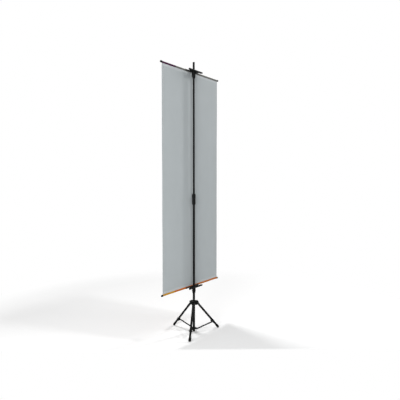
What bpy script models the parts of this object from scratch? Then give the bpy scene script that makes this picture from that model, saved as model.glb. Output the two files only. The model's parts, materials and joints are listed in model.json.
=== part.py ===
"""Tripod banner stand: a banner held between two rods on a telescopic pole with a folding tripod.

Metres, +Z up. The pole stands on the Z axis and the floor is at z = 0. X runs along the banner's
width, and the printed side of the banner faces -Y. Each bracket has a second, empty channel on +Y.
"""
import math

import bmesh
import bpy
from mathutils import Matrix

# Clearances
SEAT_GAP = 0.0003  # between two pieces that touch
SLIDE_GAP = 0.0003  # round a tube that slides or turns in its bore
PIN_GAP = 0.0003  # round a pin in its hole

# Column
LOWER_TUBE_RADIUS = 0.0110
LOWER_TUBE_WALL = 0.0012
LOWER_POLE_TOP = 1.2460
UPPER_TUBE_WALL = 0.0010
POLE_OVERLAP = 0.0860  # of the upper tube, hidden in the lower one
POLE_STICK_OUT = 0.0840  # from the top rod's axis to the top of the pole
POLE_CAP_RIM = 0.0030
PLUG_FOOT_RADIUS = 0.0108
PLUG_FOOT_HEIGHT = 0.0060
PLUG_SPIGOT = 0.0200

# Lock nuts, of the clamp between the tubes and of both brackets
BOSS_WALL = 0.0052
SPIGOT_WALL = 0.0022
SPIGOT_LENGTH = 0.0160
NUT_LENGTH = 0.0330
NUT_GRIP_LENGTH = 0.0130
NUT_NOSE_WALL = 0.0014
NUT_RIB_HEIGHT = 0.0010
NUT_RIBS = 14
CLAMP_BODY_LENGTH = 0.0520
CLAMP_NUT_LENGTH = 0.0505
CLAMP_NUT_GRIP_LENGTH = 0.0400
CLAMP_CHAMFER = 0.0060

# Banner and its rods
BANNER_WIDTH = 0.8000
BANNER_HEIGHT = 2.0000
BANNER_ABOVE_FLOOR = 0.4200
CLOTH_THICKNESS = 0.0005
ROD_RADIUS = 0.0055
ROD_CAP_RADIUS = 0.0088
ROD_CAP_LENGTH = 0.0137
ROD_CAP_END = 0.0025
POCKET_CLOSE = 0.0105  # from the rod's axis to where the pocket closes
HEM_ALLOWANCE = 0.0200
TOP_BAND = 0.1600  # of cloth that gives when the top bracket slides
BOTTOM_BAND = 0.3000  # of cloth that gives when the lower bracket slides

# Brackets
CHANNEL_LENGTH = 0.1840
CHANNEL_WALL = 0.0024
CHANNEL_MOUTH = math.radians(44)  # half of the channel's mouth, at its centre
CHANNEL_WEB = 0.0009  # between the boss and the inside of a channel
BRACKET_PLATE_LENGTH = 0.1160
BRACKET_PLATE_WAIST = 0.1000
BRACKET_PLATE_THICKNESS = 0.0070
BRACKET_BOSS_RISE = 0.0060  # above the rods' axes
BRACKET_BOSS_DROP = 0.0300  # below them
GUSSET_REACH = 0.0400
GUSSET_THICKNESS = 0.0040

# Tripod
LEG_TUBE_RADIUS = 0.0100
LEG_TUBE_WALL = 0.0010
LEG_PIVOT_RADIUS = 0.0350
LEG_PIVOT_HEIGHT = 0.2695
LEG_EYE_STEP = 0.0003  # by which the round eye is wider and thinner than the tube
LEG_HEAD_NECK = 0.0120
LEG_HEAD_SPIGOT = 0.0180
FOOT_CIRCLE = 0.2475
FOOT_WALL = 0.0012
FOOT_SLEEVE = 0.0240
FOOT_FLOOR = 0.0040
FIRST_LEG_AZIMUTH = math.radians(-90)
LEG_COUNT = 3
COLLAR_WALL = 0.0052
COLLAR_RISE = 0.0205  # above the leg pivots
COLLAR_DROP = 0.0155  # below them
COLLAR_TOP_PLATE = 0.0040
COLLAR_RIM = 0.0008  # of the sleeve, past the forks
EAR_THICKNESS = 0.0035
EAR_TIP = 0.0085  # past the leg pivot
BRACE_PIN_ALONG = 0.2480  # down the leg
BRACE_PIN_OFFSET = 0.0110  # from the leg's axis, towards the column
BRACE_PIVOT_HEIGHT = 0.0255
BRACE_WIDTH = 0.0125
BRACE_THICKNESS = 0.0025
SADDLE_WALL = 0.0015
SADDLE_LENGTH = 0.0200
SADDLE_LUG = 0.0060  # past the brace's pin
HUB_WALL = 0.0040
HUB_HEIGHT = 0.0145
HUB_LUG_RADIUS = 0.0065
PIN_RADIUS = 0.0020
PIN_HEAD_RADIUS = 0.0042
PIN_HEAD_HEIGHT = 0.0015

# Collar's lock screw
KNOB_AZIMUTH = math.radians(210)
KNOB_RADIUS = 0.0105
KNOB_THICKNESS = 0.0110
KNOB_START = 0.0285  # from the column's axis
KNOB_LOBES = 8
KNOB_LOBE_DEPTH = 0.0012
SCREW_RADIUS = 0.0030
SCREW_BOSS_RADIUS = 0.0065
SCREW_BOSS_REACH = 0.0230
SCREW_HEIGHT = 0.0020  # above the leg pivots

# Facets
ROUND = 28
FINE = 20
SMALL = 12
CHANNEL_STEPS = 16
CUT_SPARE = 0.0020  # by which a cutter runs past what it cuts

# What follows from the sizes above
UPPER_TUBE_RADIUS = LOWER_TUBE_RADIUS - LOWER_TUBE_WALL - SLIDE_GAP
BOSS_RADIUS = LOWER_TUBE_RADIUS + SLIDE_GAP + BOSS_WALL
SPIGOT_RADIUS = LOWER_TUBE_RADIUS + SLIDE_GAP + SPIGOT_WALL
POCKET_INNER = ROD_RADIUS + SEAT_GAP
POCKET_OUTER = POCKET_INNER + CLOTH_THICKNESS
CHANNEL_INNER = POCKET_OUTER + SEAT_GAP
CHANNEL_OUTER = CHANNEL_INNER + CHANNEL_WALL
CHANNEL_OFFSET = BOSS_RADIUS + CHANNEL_WEB + CHANNEL_INNER
BANNER_TOP = BANNER_ABOVE_FLOOR + BANNER_HEIGHT
TOP_ROD_HEIGHT = BANNER_TOP - POCKET_OUTER
BOTTOM_ROD_HEIGHT = BANNER_ABOVE_FLOOR + POCKET_OUTER
POLE_TOP = TOP_ROD_HEIGHT + POLE_STICK_OUT
FOOT_RADIUS = LEG_TUBE_RADIUS + SEAT_GAP + FOOT_WALL
LEG_SPREAD = math.atan2(FOOT_CIRCLE - LEG_PIVOT_RADIUS, LEG_PIVOT_HEIGHT - FOOT_RADIUS)
LEG_LENGTH = math.hypot(FOOT_CIRCLE - LEG_PIVOT_RADIUS, LEG_PIVOT_HEIGHT - FOOT_RADIUS)
SADDLE_HALF = LEG_TUBE_RADIUS + SEAT_GAP + SADDLE_WALL
BRACE_PIVOT_RADIUS = LEG_PIVOT_RADIUS - BRACE_PIN_OFFSET
BRACE_REACH = (
    BRACE_PIN_ALONG * math.sin(LEG_SPREAD) + BRACE_PIN_OFFSET * (1 - math.cos(LEG_SPREAD))
)
BRACE_RISE = (
    LEG_PIVOT_HEIGHT
    - BRACE_PIN_ALONG * math.cos(LEG_SPREAD)
    - BRACE_PIN_OFFSET * math.sin(LEG_SPREAD)
    - BRACE_PIVOT_HEIGHT
)
BRACE_LENGTH = math.hypot(BRACE_REACH, BRACE_RISE)
BRACE_LEAN = math.atan2(BRACE_REACH, BRACE_RISE)
BRACE_INNER_FACE = SADDLE_HALF + SEAT_GAP
BRACE_OUTER_FACE = BRACE_INNER_FACE + BRACE_THICKNESS
EAR_INNER_FACE = LEG_TUBE_RADIUS + SEAT_GAP
EAR_OUTER_FACE = EAR_INNER_FACE + EAR_THICKNESS


def clear_scene():
    """Start from an empty file."""
    for obj in list(bpy.data.objects):
        bpy.data.objects.remove(obj, do_unlink=True)


def collection(name):
    """A collection of the scene, made if it isn't there."""
    found = bpy.data.collections.get(name)
    if found is None:
        found = bpy.data.collections.new(name)
        bpy.context.scene.collection.children.link(found)
    return found


def finish(name, colour, roughness, metallic=0.0):
    """A plain Principled material."""
    material = bpy.data.materials.get(name)
    if material is None:
        material = bpy.data.materials.new(name)
        material.use_nodes = True
        shader = material.node_tree.nodes["Principled BSDF"]
        shader.inputs["Base Color"].default_value = (*colour, 1.0)
        shader.inputs["Roughness"].default_value = roughness
        shader.inputs["Metallic"].default_value = metallic
    return material


def black_paint():
    """Powder-coated tube."""
    return finish("black_powder_coat", (0.022, 0.024, 0.024), 0.45)


def black_plastic():
    """Moulded nylon fittings."""
    return finish("black_nylon", (0.016, 0.017, 0.017), 0.55)


def black_rubber():
    """Feet and plugs."""
    return finish("black_rubber", (0.012, 0.012, 0.012), 0.8)


def dark_steel():
    """Rivets and pins."""
    return finish("dark_steel", (0.09, 0.09, 0.09), 0.35, 1.0)


def rod_metal():
    """The banner's aluminium rods."""
    return finish("rod_aluminium", (0.55, 0.56, 0.57), 0.35, 1.0)


def cloth():
    """The bare back of the banner."""
    return finish("banner_cloth", (0.50, 0.52, 0.53), 0.7)


def link(name, data):
    """A new object in the stand's collection."""
    obj = bpy.data.objects.new(name, data)
    collection("tripod_banner_stand").objects.link(obj)
    return obj


def as_mesh(obj, name=None):
    """Replace an object by the mesh that its curve or its modifiers give, in world coordinates."""
    bpy.context.view_layer.update()
    graph = bpy.context.evaluated_depsgraph_get()
    mesh = bpy.data.meshes.new_from_object(obj.evaluated_get(graph))
    mesh.transform(obj.matrix_world)
    welded = bmesh.new()
    welded.from_mesh(mesh)
    bmesh.ops.remove_doubles(welded, verts=welded.verts, dist=0.000001)
    welded.to_mesh(mesh)
    welded.free()
    name = name or obj.name
    bpy.data.objects.remove(obj, do_unlink=True)
    mesh.name = name
    return link(name, mesh)


def boolean(body, tool, operation):
    """Join, cut or intersect two meshes, and drop the second."""
    modifier = body.modifiers.new(operation.lower(), "BOOLEAN")
    modifier.operation = operation
    modifier.object = tool
    body = as_mesh(body)
    bpy.data.objects.remove(tool, do_unlink=True)
    return body


def join(body, *others):
    """One solid from several that overlap."""
    for other in others:
        body = boolean(body, other, "UNION")
    return body


def cut(body, *cutters):
    """A solid less its cutters."""
    for cutter in cutters:
        body = boolean(body, cutter, "DIFFERENCE")
    return body


def turned(name, profile, ring=False, steps=ROUND):
    """Turn a profile of (radius, height) points about Z. It runs down the outer side."""
    edges = [(i, i + 1) for i in range(len(profile) - 1)]
    if ring:
        edges.append((len(profile) - 1, 0))
    mesh = bpy.data.meshes.new(name)
    mesh.from_pydata([(radius, 0.0, height) for radius, height in profile], edges, [])
    obj = link(name, mesh)
    screw = obj.modifiers.new("turn", "SCREW")
    screw.axis = "Z"
    screw.angle = 2 * math.pi
    screw.steps = steps
    screw.render_steps = steps
    screw.use_merge_vertices = True
    screw.merge_threshold = 0.00001
    return as_mesh(obj)


def rod(name, radius, low, high, steps=ROUND):
    """A round bar along Z."""
    mesh = bpy.data.meshes.new(name)
    bar = bmesh.new()
    bmesh.ops.create_cone(
        bar, cap_ends=True, segments=steps, radius1=radius, radius2=radius, depth=high - low,
        matrix=Matrix.Translation((0, 0, (high + low) / 2)),
    )
    bar.to_mesh(mesh)
    bar.free()
    return link(name, mesh)


def tube(name, outer, inner, low, high, steps=ROUND):
    """An open tube along Z, with its outer corners broken."""
    edge = (outer - inner) / 3
    return turned(
        name,
        [(inner, high), (outer - edge, high), (outer, high - edge), (outer, low + edge),
         (outer - edge, low), (inner, low)],
        ring=True,
        steps=steps,
    )


def arc(centre, radius, start, end, segments):
    """Points on an arc, both ends included. Angles are in degrees."""
    points = []
    for i in range(segments + 1):
        angle = math.radians(start + (end - start) * i / segments)
        points.append((centre[0] + radius * math.cos(angle), centre[1] + radius * math.sin(angle)))
    return points


def circle(centre, radius, segments):
    """A closed ring of points."""
    return arc(centre, radius, 0, 360 * (segments - 1) / segments, segments - 1)


FLAT = Matrix.Identity(4)
UPRIGHT_XZ = Matrix.Rotation(math.radians(90), 4, "X")
UPRIGHT_YZ = Matrix.Rotation(math.radians(90), 4, "Z") @ UPRIGHT_XZ


def plate(name, outline, thickness, turn=FLAT, middle=0.0, holes=()):
    """A flat outline with holes, given its thickness about the distance middle along its normal."""
    curve = bpy.data.curves.new(name, "CURVE")
    curve.dimensions = "2D"
    curve.fill_mode = "BOTH"
    curve.extrude = thickness / 2
    for points in (outline, *holes):
        spline = curve.splines.new("POLY")
        spline.points.add(len(points) - 1)
        for point, (x, y) in zip(spline.points, points):
            point.co = (x, y, 0, 1)
        spline.use_cyclic_u = True
    obj = link(name, curve)
    obj.matrix_world = turn @ Matrix.Translation((0, 0, middle))
    return as_mesh(obj)


def dress(obj, material, parent=None):
    """Give a finished piece its material, smooth shading and joint axis."""
    obj.data.materials.clear()
    obj.data.materials.append(material)
    obj.data.shade_smooth()
    obj.data.set_sharp_from_angle(angle=math.radians(35))
    if parent is not None:
        obj.parent = parent
    return obj


def axis_empty(name, place):
    """An empty on a joint's axis, which carries the pieces that move there."""
    empty = link(name, None)
    empty.empty_display_size = 0.02
    empty.matrix_world = place
    return empty


def copy_of(piece, name, parent):
    """Another piece of the same mesh, carried by its own empty."""
    twin = link(name, piece.data)
    twin.parent = parent
    return twin


def raised(height):
    """The place of something on the pole's axis."""
    return Matrix.Translation((0, 0, height))


def build_lock_nut(name, tube_radius, length, grip):
    """A ribbed nut below z = 0, over a spigot and tapering to the tube that it grips."""
    inner = SPIGOT_RADIUS + SEAT_GAP
    core = BOSS_RADIUS - NUT_RIB_HEIGHT / 2
    nose = tube_radius + SLIDE_GAP + NUT_NOSE_WALL
    bore = tube_radius + SLIDE_GAP
    shoulder = -(SPIGOT_LENGTH + SEAT_GAP)
    body = turned(
        name,
        [(inner, 0), (core, 0), (core, -grip - NUT_RIB_HEIGHT)]
        + [(nose, -length), (bore, -length), (bore, shoulder), (inner, shoulder)],
        ring=True,
    )
    ribs = []
    for i in range(NUT_RIBS):
        middle = 360 * i / NUT_RIBS
        half = 90 / NUT_RIBS
        ribs += arc((0, 0), core + NUT_RIB_HEIGHT, middle - half * 0.8, middle + half * 0.8, 1)
        ribs += arc((0, 0), core + SEAT_GAP, middle + half * 1.2, middle + half * 2.8, 1)
    band_low = -grip
    band_high = -NUT_RIB_HEIGHT
    band = plate(
        name + "_ribs", ribs, band_high - band_low, middle=(band_high + band_low) / 2,
        holes=[circle((0, 0), (core + inner) / 2, ROUND)],
    )
    return join(body, band)


def build_column():
    """The two tubes, their plugs and the twist lock between them."""
    lower = tube(
        "lower_pole", LOWER_TUBE_RADIUS, LOWER_TUBE_RADIUS - LOWER_TUBE_WALL,
        PLUG_FOOT_HEIGHT + SEAT_GAP, LOWER_POLE_TOP,
    )
    dress(lower, black_paint())
    spigot = LOWER_TUBE_RADIUS - LOWER_TUBE_WALL - SEAT_GAP
    rounding = PLUG_FOOT_RADIUS / 5
    plug = turned(
        "column_plug",
        [(0, PLUG_FOOT_HEIGHT + PLUG_SPIGOT), (spigot, PLUG_FOOT_HEIGHT + PLUG_SPIGOT)]
        + [(spigot, PLUG_FOOT_HEIGHT), (PLUG_FOOT_RADIUS, PLUG_FOOT_HEIGHT - rounding)]
        + [(PLUG_FOOT_RADIUS, rounding), (PLUG_FOOT_RADIUS - rounding, 0), (0, 0)],
    )
    dress(plug, black_rubber())

    upper_axis = axis_empty("pole_extend_axis", raised(LOWER_POLE_TOP))
    upper_bottom = -POLE_OVERLAP
    cap_top = POLE_TOP - LOWER_POLE_TOP
    upper = tube(
        "upper_pole", UPPER_TUBE_RADIUS, UPPER_TUBE_RADIUS - UPPER_TUBE_WALL,
        upper_bottom, cap_top - POLE_CAP_RIM - SEAT_GAP,
    )
    dress(upper, black_paint(), upper_axis)
    cap_spigot = UPPER_TUBE_RADIUS - UPPER_TUBE_WALL - SEAT_GAP
    cap = turned(
        "pole_cap",
        [(0, cap_top), (UPPER_TUBE_RADIUS * 0.7, cap_top)]
        + [(UPPER_TUBE_RADIUS, cap_top - POLE_CAP_RIM / 2), (UPPER_TUBE_RADIUS, cap_top - POLE_CAP_RIM)]
        + [(cap_spigot, cap_top - POLE_CAP_RIM), (cap_spigot, cap_top - POLE_CAP_RIM - PLUG_SPIGOT)]
        + [(0, cap_top - POLE_CAP_RIM - PLUG_SPIGOT)],
        steps=FINE,
    )
    dress(cap, black_rubber(), upper_axis)

    low = LOWER_POLE_TOP - CLAMP_BODY_LENGTH
    lower_bore = LOWER_TUBE_RADIUS + SEAT_GAP
    upper_bore = UPPER_TUBE_RADIUS + SLIDE_GAP
    seat = LOWER_POLE_TOP + SEAT_GAP
    body = turned(
        "mid_clamp_body",
        [(upper_bore, LOWER_POLE_TOP + SPIGOT_LENGTH), (SPIGOT_RADIUS, LOWER_POLE_TOP + SPIGOT_LENGTH)]
        + [(SPIGOT_RADIUS, LOWER_POLE_TOP), (BOSS_RADIUS, LOWER_POLE_TOP)]
        + [(BOSS_RADIUS, low + CLAMP_CHAMFER), (lower_bore + NUT_NOSE_WALL, low), (lower_bore, low)]
        + [(lower_bore, seat), (upper_bore, seat)],
        ring=True,
    )
    dress(body, black_plastic())
    nut = build_lock_nut("mid_clamp_nut", UPPER_TUBE_RADIUS, CLAMP_NUT_LENGTH, CLAMP_NUT_GRIP_LENGTH)
    nut.data.transform(Matrix.Rotation(math.pi, 4, "X"))
    dress(nut, black_plastic(), axis_empty("mid_clamp_axis", raised(LOWER_POLE_TOP + SEAT_GAP)))


def channel_outline(side, mouth):
    """The C of a channel about (side * CHANNEL_OFFSET, 0), open towards mouth, in degrees."""
    centre = (side * CHANNEL_OFFSET, 0)
    lip = math.degrees(CHANNEL_MOUTH)
    middle = (CHANNEL_INNER + CHANNEL_OUTER) / 2
    points = arc(centre, CHANNEL_OUTER, mouth + lip, mouth + 360 - lip, CHANNEL_STEPS)
    for inward, angle in ((-90, mouth - lip), (90, mouth + lip)):
        tip = (
            centre[0] + middle * math.cos(math.radians(angle)),
            centre[1] + middle * math.sin(math.radians(angle)),
        )
        start = angle if inward < 0 else angle + 180
        points += arc(tip, CHANNEL_WALL / 2, start, start + 180, 4)[1:-1]
        if inward < 0:
            points += arc(centre, CHANNEL_INNER, mouth + 360 - lip, mouth + lip, CHANNEL_STEPS)
    return points


def build_bracket(name, tube_radius, mouth):
    """A bracket about the point where the rods' plane meets the pole, with channels open to mouth."""
    channels = [
        plate(name + "_channel", channel_outline(side, mouth), CHANNEL_LENGTH, UPRIGHT_YZ)
        for side in (-1, 1)
    ]
    half = BRACKET_PLATE_LENGTH / 2
    waist = BRACKET_PLATE_WAIST / 2
    depth = CHANNEL_OFFSET - (CHANNEL_INNER + CHANNEL_OUTER) / 2
    sag = half - waist
    radius = (depth * depth + sag * sag) / (2 * sag)
    sweep = math.degrees(math.asin(depth / radius))
    right = arc((waist + radius, 0), radius, 180 + sweep, 180 - sweep, 8)
    left = arc((-waist - radius, 0), radius, sweep, -sweep, 8)
    deck = plate(name, right + left, BRACKET_PLATE_THICKNESS)
    boss = rod(name + "_boss", BOSS_RADIUS, -BRACKET_BOSS_DROP, BRACKET_BOSS_RISE)
    spigot = rod(
        name + "_spigot", SPIGOT_RADIUS, -BRACKET_BOSS_DROP - SPIGOT_LENGTH, -BRACKET_BOSS_DROP / 2
    )
    foot = -BRACKET_BOSS_DROP * 0.85
    hollow = GUSSET_REACH - BOSS_RADIUS
    gussets = []
    for side in (-1, 1):
        curve = [
            (side * (GUSSET_REACH - hollow * math.sin(t)), foot * (1 - math.cos(t)))
            for t in (math.pi / 2 * i / 6 for i in range(7))
        ]
        outline = [(side * tube_radius, 0)] + curve + [(side * tube_radius, foot)]
        gussets.append(plate(name + "_gusset", outline, GUSSET_THICKNESS, UPRIGHT_XZ))
    body = join(deck, boss, spigot, *gussets, *channels)
    bore = rod(
        name + "_bore", tube_radius + SLIDE_GAP,
        -BRACKET_BOSS_DROP - SPIGOT_LENGTH - CUT_SPARE, BRACKET_BOSS_RISE + CUT_SPARE,
    )
    return cut(body, bore)


def build_brackets():
    """The top bracket, with its channels open downwards, and the lower one, open upwards."""
    for level, height, tube_radius, mouth in (
        ("top", TOP_ROD_HEIGHT, UPPER_TUBE_RADIUS, -90),
        ("bottom", BOTTOM_ROD_HEIGHT, LOWER_TUBE_RADIUS, 90),
    ):
        bracket = build_bracket(level + "_bracket", tube_radius, mouth)
        dress(bracket, black_plastic(), axis_empty(level + "_bracket_axis", raised(height)))
        nut = build_lock_nut(level + "_lock_nut", tube_radius, NUT_LENGTH, NUT_GRIP_LENGTH)
        nut_axis = axis_empty(level + "_nut_axis", raised(height - BRACKET_BOSS_DROP - SEAT_GAP))
        dress(nut, black_plastic(), nut_axis)


def pocket_outline(radius, tip, half_width):
    """A drop round the rod's axis, closing at height tip. It is open at the top, right to left."""
    reach = math.hypot(tip, half_width)
    lean = math.degrees(math.asin(radius / reach) + math.atan2(half_width, tip))
    return arc((0, 0), radius, lean, -180 - lean, FINE)


def build_hem(name, band):
    """The pocket for a rod, its seam and the strip of cloth above it, about the rod's axis."""
    half = CLOTH_THICKNESS / 2
    seam = POCKET_CLOSE + HEM_ALLOWANCE
    outer = pocket_outline(POCKET_OUTER, POCKET_CLOSE, half)
    outline = [(-half, band), (half, band), (half, seam), (3 * half, seam), (3 * half, POCKET_CLOSE)]
    outline += outer + [(-half, POCKET_CLOSE)]
    closing = POCKET_CLOSE - 2 * CLOTH_THICKNESS
    hole = pocket_outline(POCKET_INNER, closing, 0) + [(0, closing)]
    return plate(name, outline, BANNER_WIDTH, UPRIGHT_YZ, holes=[hole])


def build_banner():
    """The sheet in its three lengths, the rods and their end caps."""
    low = build_hem("banner_bottom_hem", BOTTOM_BAND)
    low.data.transform(Matrix.Translation((0, -CHANNEL_OFFSET, BOTTOM_ROD_HEIGHT)))
    dress(low, cloth())
    high = build_hem("banner_top_hem", TOP_BAND)
    upside_down = Matrix.Translation((0, -CHANNEL_OFFSET, TOP_ROD_HEIGHT)) @ Matrix.Diagonal((1, 1, -1, 1))
    high.data.transform(upside_down)
    high.data.flip_normals()
    dress(high, cloth())

    panel_low = BOTTOM_ROD_HEIGHT + BOTTOM_BAND + SEAT_GAP
    panel_high = TOP_ROD_HEIGHT - TOP_BAND - SEAT_GAP
    half = CLOTH_THICKNESS / 2
    outline = [(-half, panel_low), (half, panel_low), (half, panel_high), (-half, panel_high)]
    panel = plate("banner_panel", outline, BANNER_WIDTH, UPRIGHT_YZ)
    panel.data.transform(Matrix.Translation((0, -CHANNEL_OFFSET, 0)))
    dress(panel, cloth())

    rod_half = BANNER_WIDTH / 2 + SEAT_GAP + ROD_CAP_LENGTH - ROD_CAP_END - SEAT_GAP
    sideways = Matrix.Rotation(math.radians(90), 4, "Y")
    for level, height in (("top", TOP_ROD_HEIGHT), ("bottom", BOTTOM_ROD_HEIGHT)):
        place = Matrix.Translation((0, -CHANNEL_OFFSET, height))
        bar = rod(level + "_rod", ROD_RADIUS, -rod_half, rod_half, steps=FINE)
        bar.data.transform(place @ sideways)
        dress(bar, rod_metal())
        for side, sign in (("right", 1), ("left", -1)):
            start = BANNER_WIDTH / 2 + SEAT_GAP
            bottom = start + ROD_CAP_LENGTH - ROD_CAP_END
            end = start + ROD_CAP_LENGTH
            cap = turned(
                f"rod_cap_{level}_{side}",
                [(0, end), (ROD_CAP_RADIUS * 0.8, end), (ROD_CAP_RADIUS, end - ROD_CAP_END)]
                + [(ROD_CAP_RADIUS, start), (ROD_RADIUS + SEAT_GAP, start)]
                + [(ROD_RADIUS + SEAT_GAP, bottom), (0, bottom)],
                steps=FINE,
            )
            outwards = Matrix.Rotation(math.radians(90) * sign, 4, "Y")
            cap.data.transform(place @ outwards)
            dress(cap, black_plastic())


def pin(name, low, high, heads=2):
    """A riveted pin along -Y from low to high, with a head past each end that has one."""
    head_top = high + PIN_HEAD_HEIGHT
    profile = [(0, head_top), (PIN_HEAD_RADIUS * 0.6, head_top), (PIN_HEAD_RADIUS, high + PIN_HEAD_HEIGHT / 2)]
    profile += [(PIN_HEAD_RADIUS, high), (PIN_RADIUS, high), (PIN_RADIUS, low)]
    if heads == 2:
        foot = low - PIN_HEAD_HEIGHT
        profile += [(PIN_HEAD_RADIUS, low), (PIN_HEAD_RADIUS, low - PIN_HEAD_HEIGHT / 2)]
        profile += [(PIN_HEAD_RADIUS * 0.6, foot), (0, foot)]
    else:
        profile.append((0, low))
    piece = turned(name, profile, steps=SMALL)
    piece.data.transform(Matrix.Rotation(math.radians(90), 4, "X"))
    return piece


def pin_hole(radial, height, half_length):
    """A cutter along Y for a pin."""
    cutter = rod("pin_hole", PIN_RADIUS + PIN_GAP, -half_length, half_length, steps=SMALL)
    place = Matrix.Translation((radial, 0, height)) @ Matrix.Rotation(math.radians(-90), 4, "X")
    cutter.data.transform(place)
    return cutter


def leg_azimuths():
    """The legs' directions round the column."""
    return [FIRST_LEG_AZIMUTH + 2 * math.pi * i / LEG_COUNT for i in range(LEG_COUNT)]


def around(piece, azimuth):
    """Turn a mesh about the pole, in its own coordinates."""
    piece.data.transform(Matrix.Rotation(azimuth, 4, "Z"))
    return piece


def build_collar():
    """The sliding collar about the height of the leg pivots: a sleeve, three forks and a boss."""
    bore_radius = LOWER_TUBE_RADIUS + SLIDE_GAP
    sleeve_radius = bore_radius + COLLAR_WALL
    body = rod("leg_collar", sleeve_radius, -COLLAR_DROP - COLLAR_RIM, COLLAR_RISE + COLLAR_RIM)
    tip = LEG_PIVOT_RADIUS + EAR_TIP
    outline = arc((tip - EAR_TIP, COLLAR_RISE - EAR_TIP), EAR_TIP, 90, 0, 5)
    outline += arc((tip - EAR_TIP, -COLLAR_DROP + EAR_TIP), EAR_TIP, 0, -90, 5)
    outline += [(bore_radius / 2, -COLLAR_DROP), (bore_radius / 2, COLLAR_RISE)]
    slot_start = sleeve_radius + SLIDE_GAP
    slot_top = COLLAR_RISE - COLLAR_TOP_PLATE
    slot_end = tip + CUT_SPARE
    slot_outline = [(slot_start, slot_top), (LEG_PIVOT_RADIUS, slot_top)]
    slot_outline += [(LEG_PIVOT_RADIUS, COLLAR_RISE + CUT_SPARE), (slot_end, COLLAR_RISE + CUT_SPARE)]
    slot_outline += [(slot_end, -COLLAR_DROP - CUT_SPARE), (slot_start, -COLLAR_DROP - CUT_SPARE)]
    cutters = [rod("bore", bore_radius, -COLLAR_DROP - CUT_SPARE, COLLAR_RISE + CUT_SPARE)]
    for azimuth in leg_azimuths():
        fork = plate("fork", outline, 2 * EAR_OUTER_FACE, UPRIGHT_XZ)
        body = join(body, around(fork, azimuth))
        slot = plate("slot", slot_outline, 2 * EAR_INNER_FACE, UPRIGHT_XZ)
        cutters.append(around(slot, azimuth))
        cutters.append(around(pin_hole(LEG_PIVOT_RADIUS, 0, EAR_OUTER_FACE + CUT_SPARE), azimuth))
    outwards = Matrix.Rotation(KNOB_AZIMUTH, 4, "Z") @ Matrix.Translation((0, 0, SCREW_HEIGHT))
    outwards = outwards @ Matrix.Rotation(math.radians(90), 4, "Y")
    boss = rod("screw_boss", SCREW_BOSS_RADIUS, bore_radius, SCREW_BOSS_REACH, steps=FINE)
    boss.data.transform(outwards)
    screw_hole = rod("screw_hole", SCREW_RADIUS + PIN_GAP, 0, KNOB_START, steps=SMALL)
    screw_hole.data.transform(outwards)
    return cut(join(body, boss), *cutters, screw_hole)


def build_knob():
    """The collar's lock screw along +X: a lobed knob on a shank whose tip meets the column."""
    outline = []
    points = KNOB_LOBES * 6
    for i in range(points):
        angle = 2 * math.pi * i / points
        radius = KNOB_RADIUS - KNOB_LOBE_DEPTH * (0.5 - 0.5 * math.cos(KNOB_LOBES * angle))
        outline.append((radius * math.cos(angle), radius * math.sin(angle)))
    head = plate("collar_knob", outline, KNOB_THICKNESS, middle=KNOB_START + KNOB_THICKNESS / 2)
    neck = rod("neck", SCREW_BOSS_RADIUS, SCREW_BOSS_REACH + SEAT_GAP, KNOB_START + CUT_SPARE, steps=FINE)
    tip = LOWER_TUBE_RADIUS + SEAT_GAP
    shank = rod("shank", SCREW_RADIUS, tip, KNOB_START + CUT_SPARE, steps=SMALL)
    knob = join(head, neck, shank)
    knob.data.transform(Matrix.Rotation(math.radians(90), 4, "Y"))
    return knob


def build_leg_head():
    """The leg's plastic end about its pivot: a round eye between the ears and a spigot in the tube."""
    half = LEG_TUBE_RADIUS - LEG_EYE_STEP
    eye = rod("leg_head", LEG_TUBE_RADIUS + LEG_EYE_STEP, -half, half, steps=FINE)
    eye.data.transform(Matrix.Rotation(math.radians(90), 4, "X"))
    top = -LEG_TUBE_RADIUS / 8
    bottom = -LEG_HEAD_NECK - LEG_HEAD_SPIGOT
    spigot_radius = LEG_TUBE_RADIUS - LEG_TUBE_WALL - SEAT_GAP
    neck = turned(
        "neck",
        [(0, top), (LEG_TUBE_RADIUS, top), (LEG_TUBE_RADIUS, -LEG_HEAD_NECK)]
        + [(spigot_radius, -LEG_HEAD_NECK), (spigot_radius, bottom), (0, bottom)],
        steps=FINE,
    )
    return cut(join(eye, neck), pin_hole(0, 0, LEG_TUBE_RADIUS + CUT_SPARE))


def build_foot():
    """A rubber cup on the end of the leg, with a round end that meets the floor."""
    top = -LEG_LENGTH + FOOT_SLEEVE
    inside = -LEG_LENGTH + FOOT_FLOOR - SEAT_GAP
    bore = LEG_TUBE_RADIUS + SEAT_GAP
    rounding = FOOT_WALL / 2
    dome = [
        (FOOT_RADIUS * math.cos(t), -LEG_LENGTH - FOOT_RADIUS * math.sin(t))
        for t in (math.pi / 2 * i / 5 for i in range(5))
    ]
    profile = [(0, inside), (bore, inside), (bore, top), (FOOT_RADIUS - rounding, top)]
    profile += [(FOOT_RADIUS, top - rounding)] + dome + [(0, -LEG_LENGTH - FOOT_RADIUS)]
    return turned("foot", profile, steps=FINE)


def build_saddle():
    """The collar clamped on the leg that carries the brace, about the leg's pivot."""
    lug = BRACE_PIN_OFFSET + SADDLE_LUG
    corner = SADDLE_WALL
    outline = arc((0, 0), SADDLE_HALF, -90, 90, FINE // 2)
    outline += arc((-lug + corner, SADDLE_HALF - corner), corner, 90, 180, 3)
    outline += arc((-lug + corner, -SADDLE_HALF + corner), corner, 180, 270, 3)
    hole = circle((0, 0), LEG_TUBE_RADIUS + SEAT_GAP, FINE)
    return plate("saddle", outline, SADDLE_LENGTH, middle=-BRACE_PIN_ALONG, holes=[hole])


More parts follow.
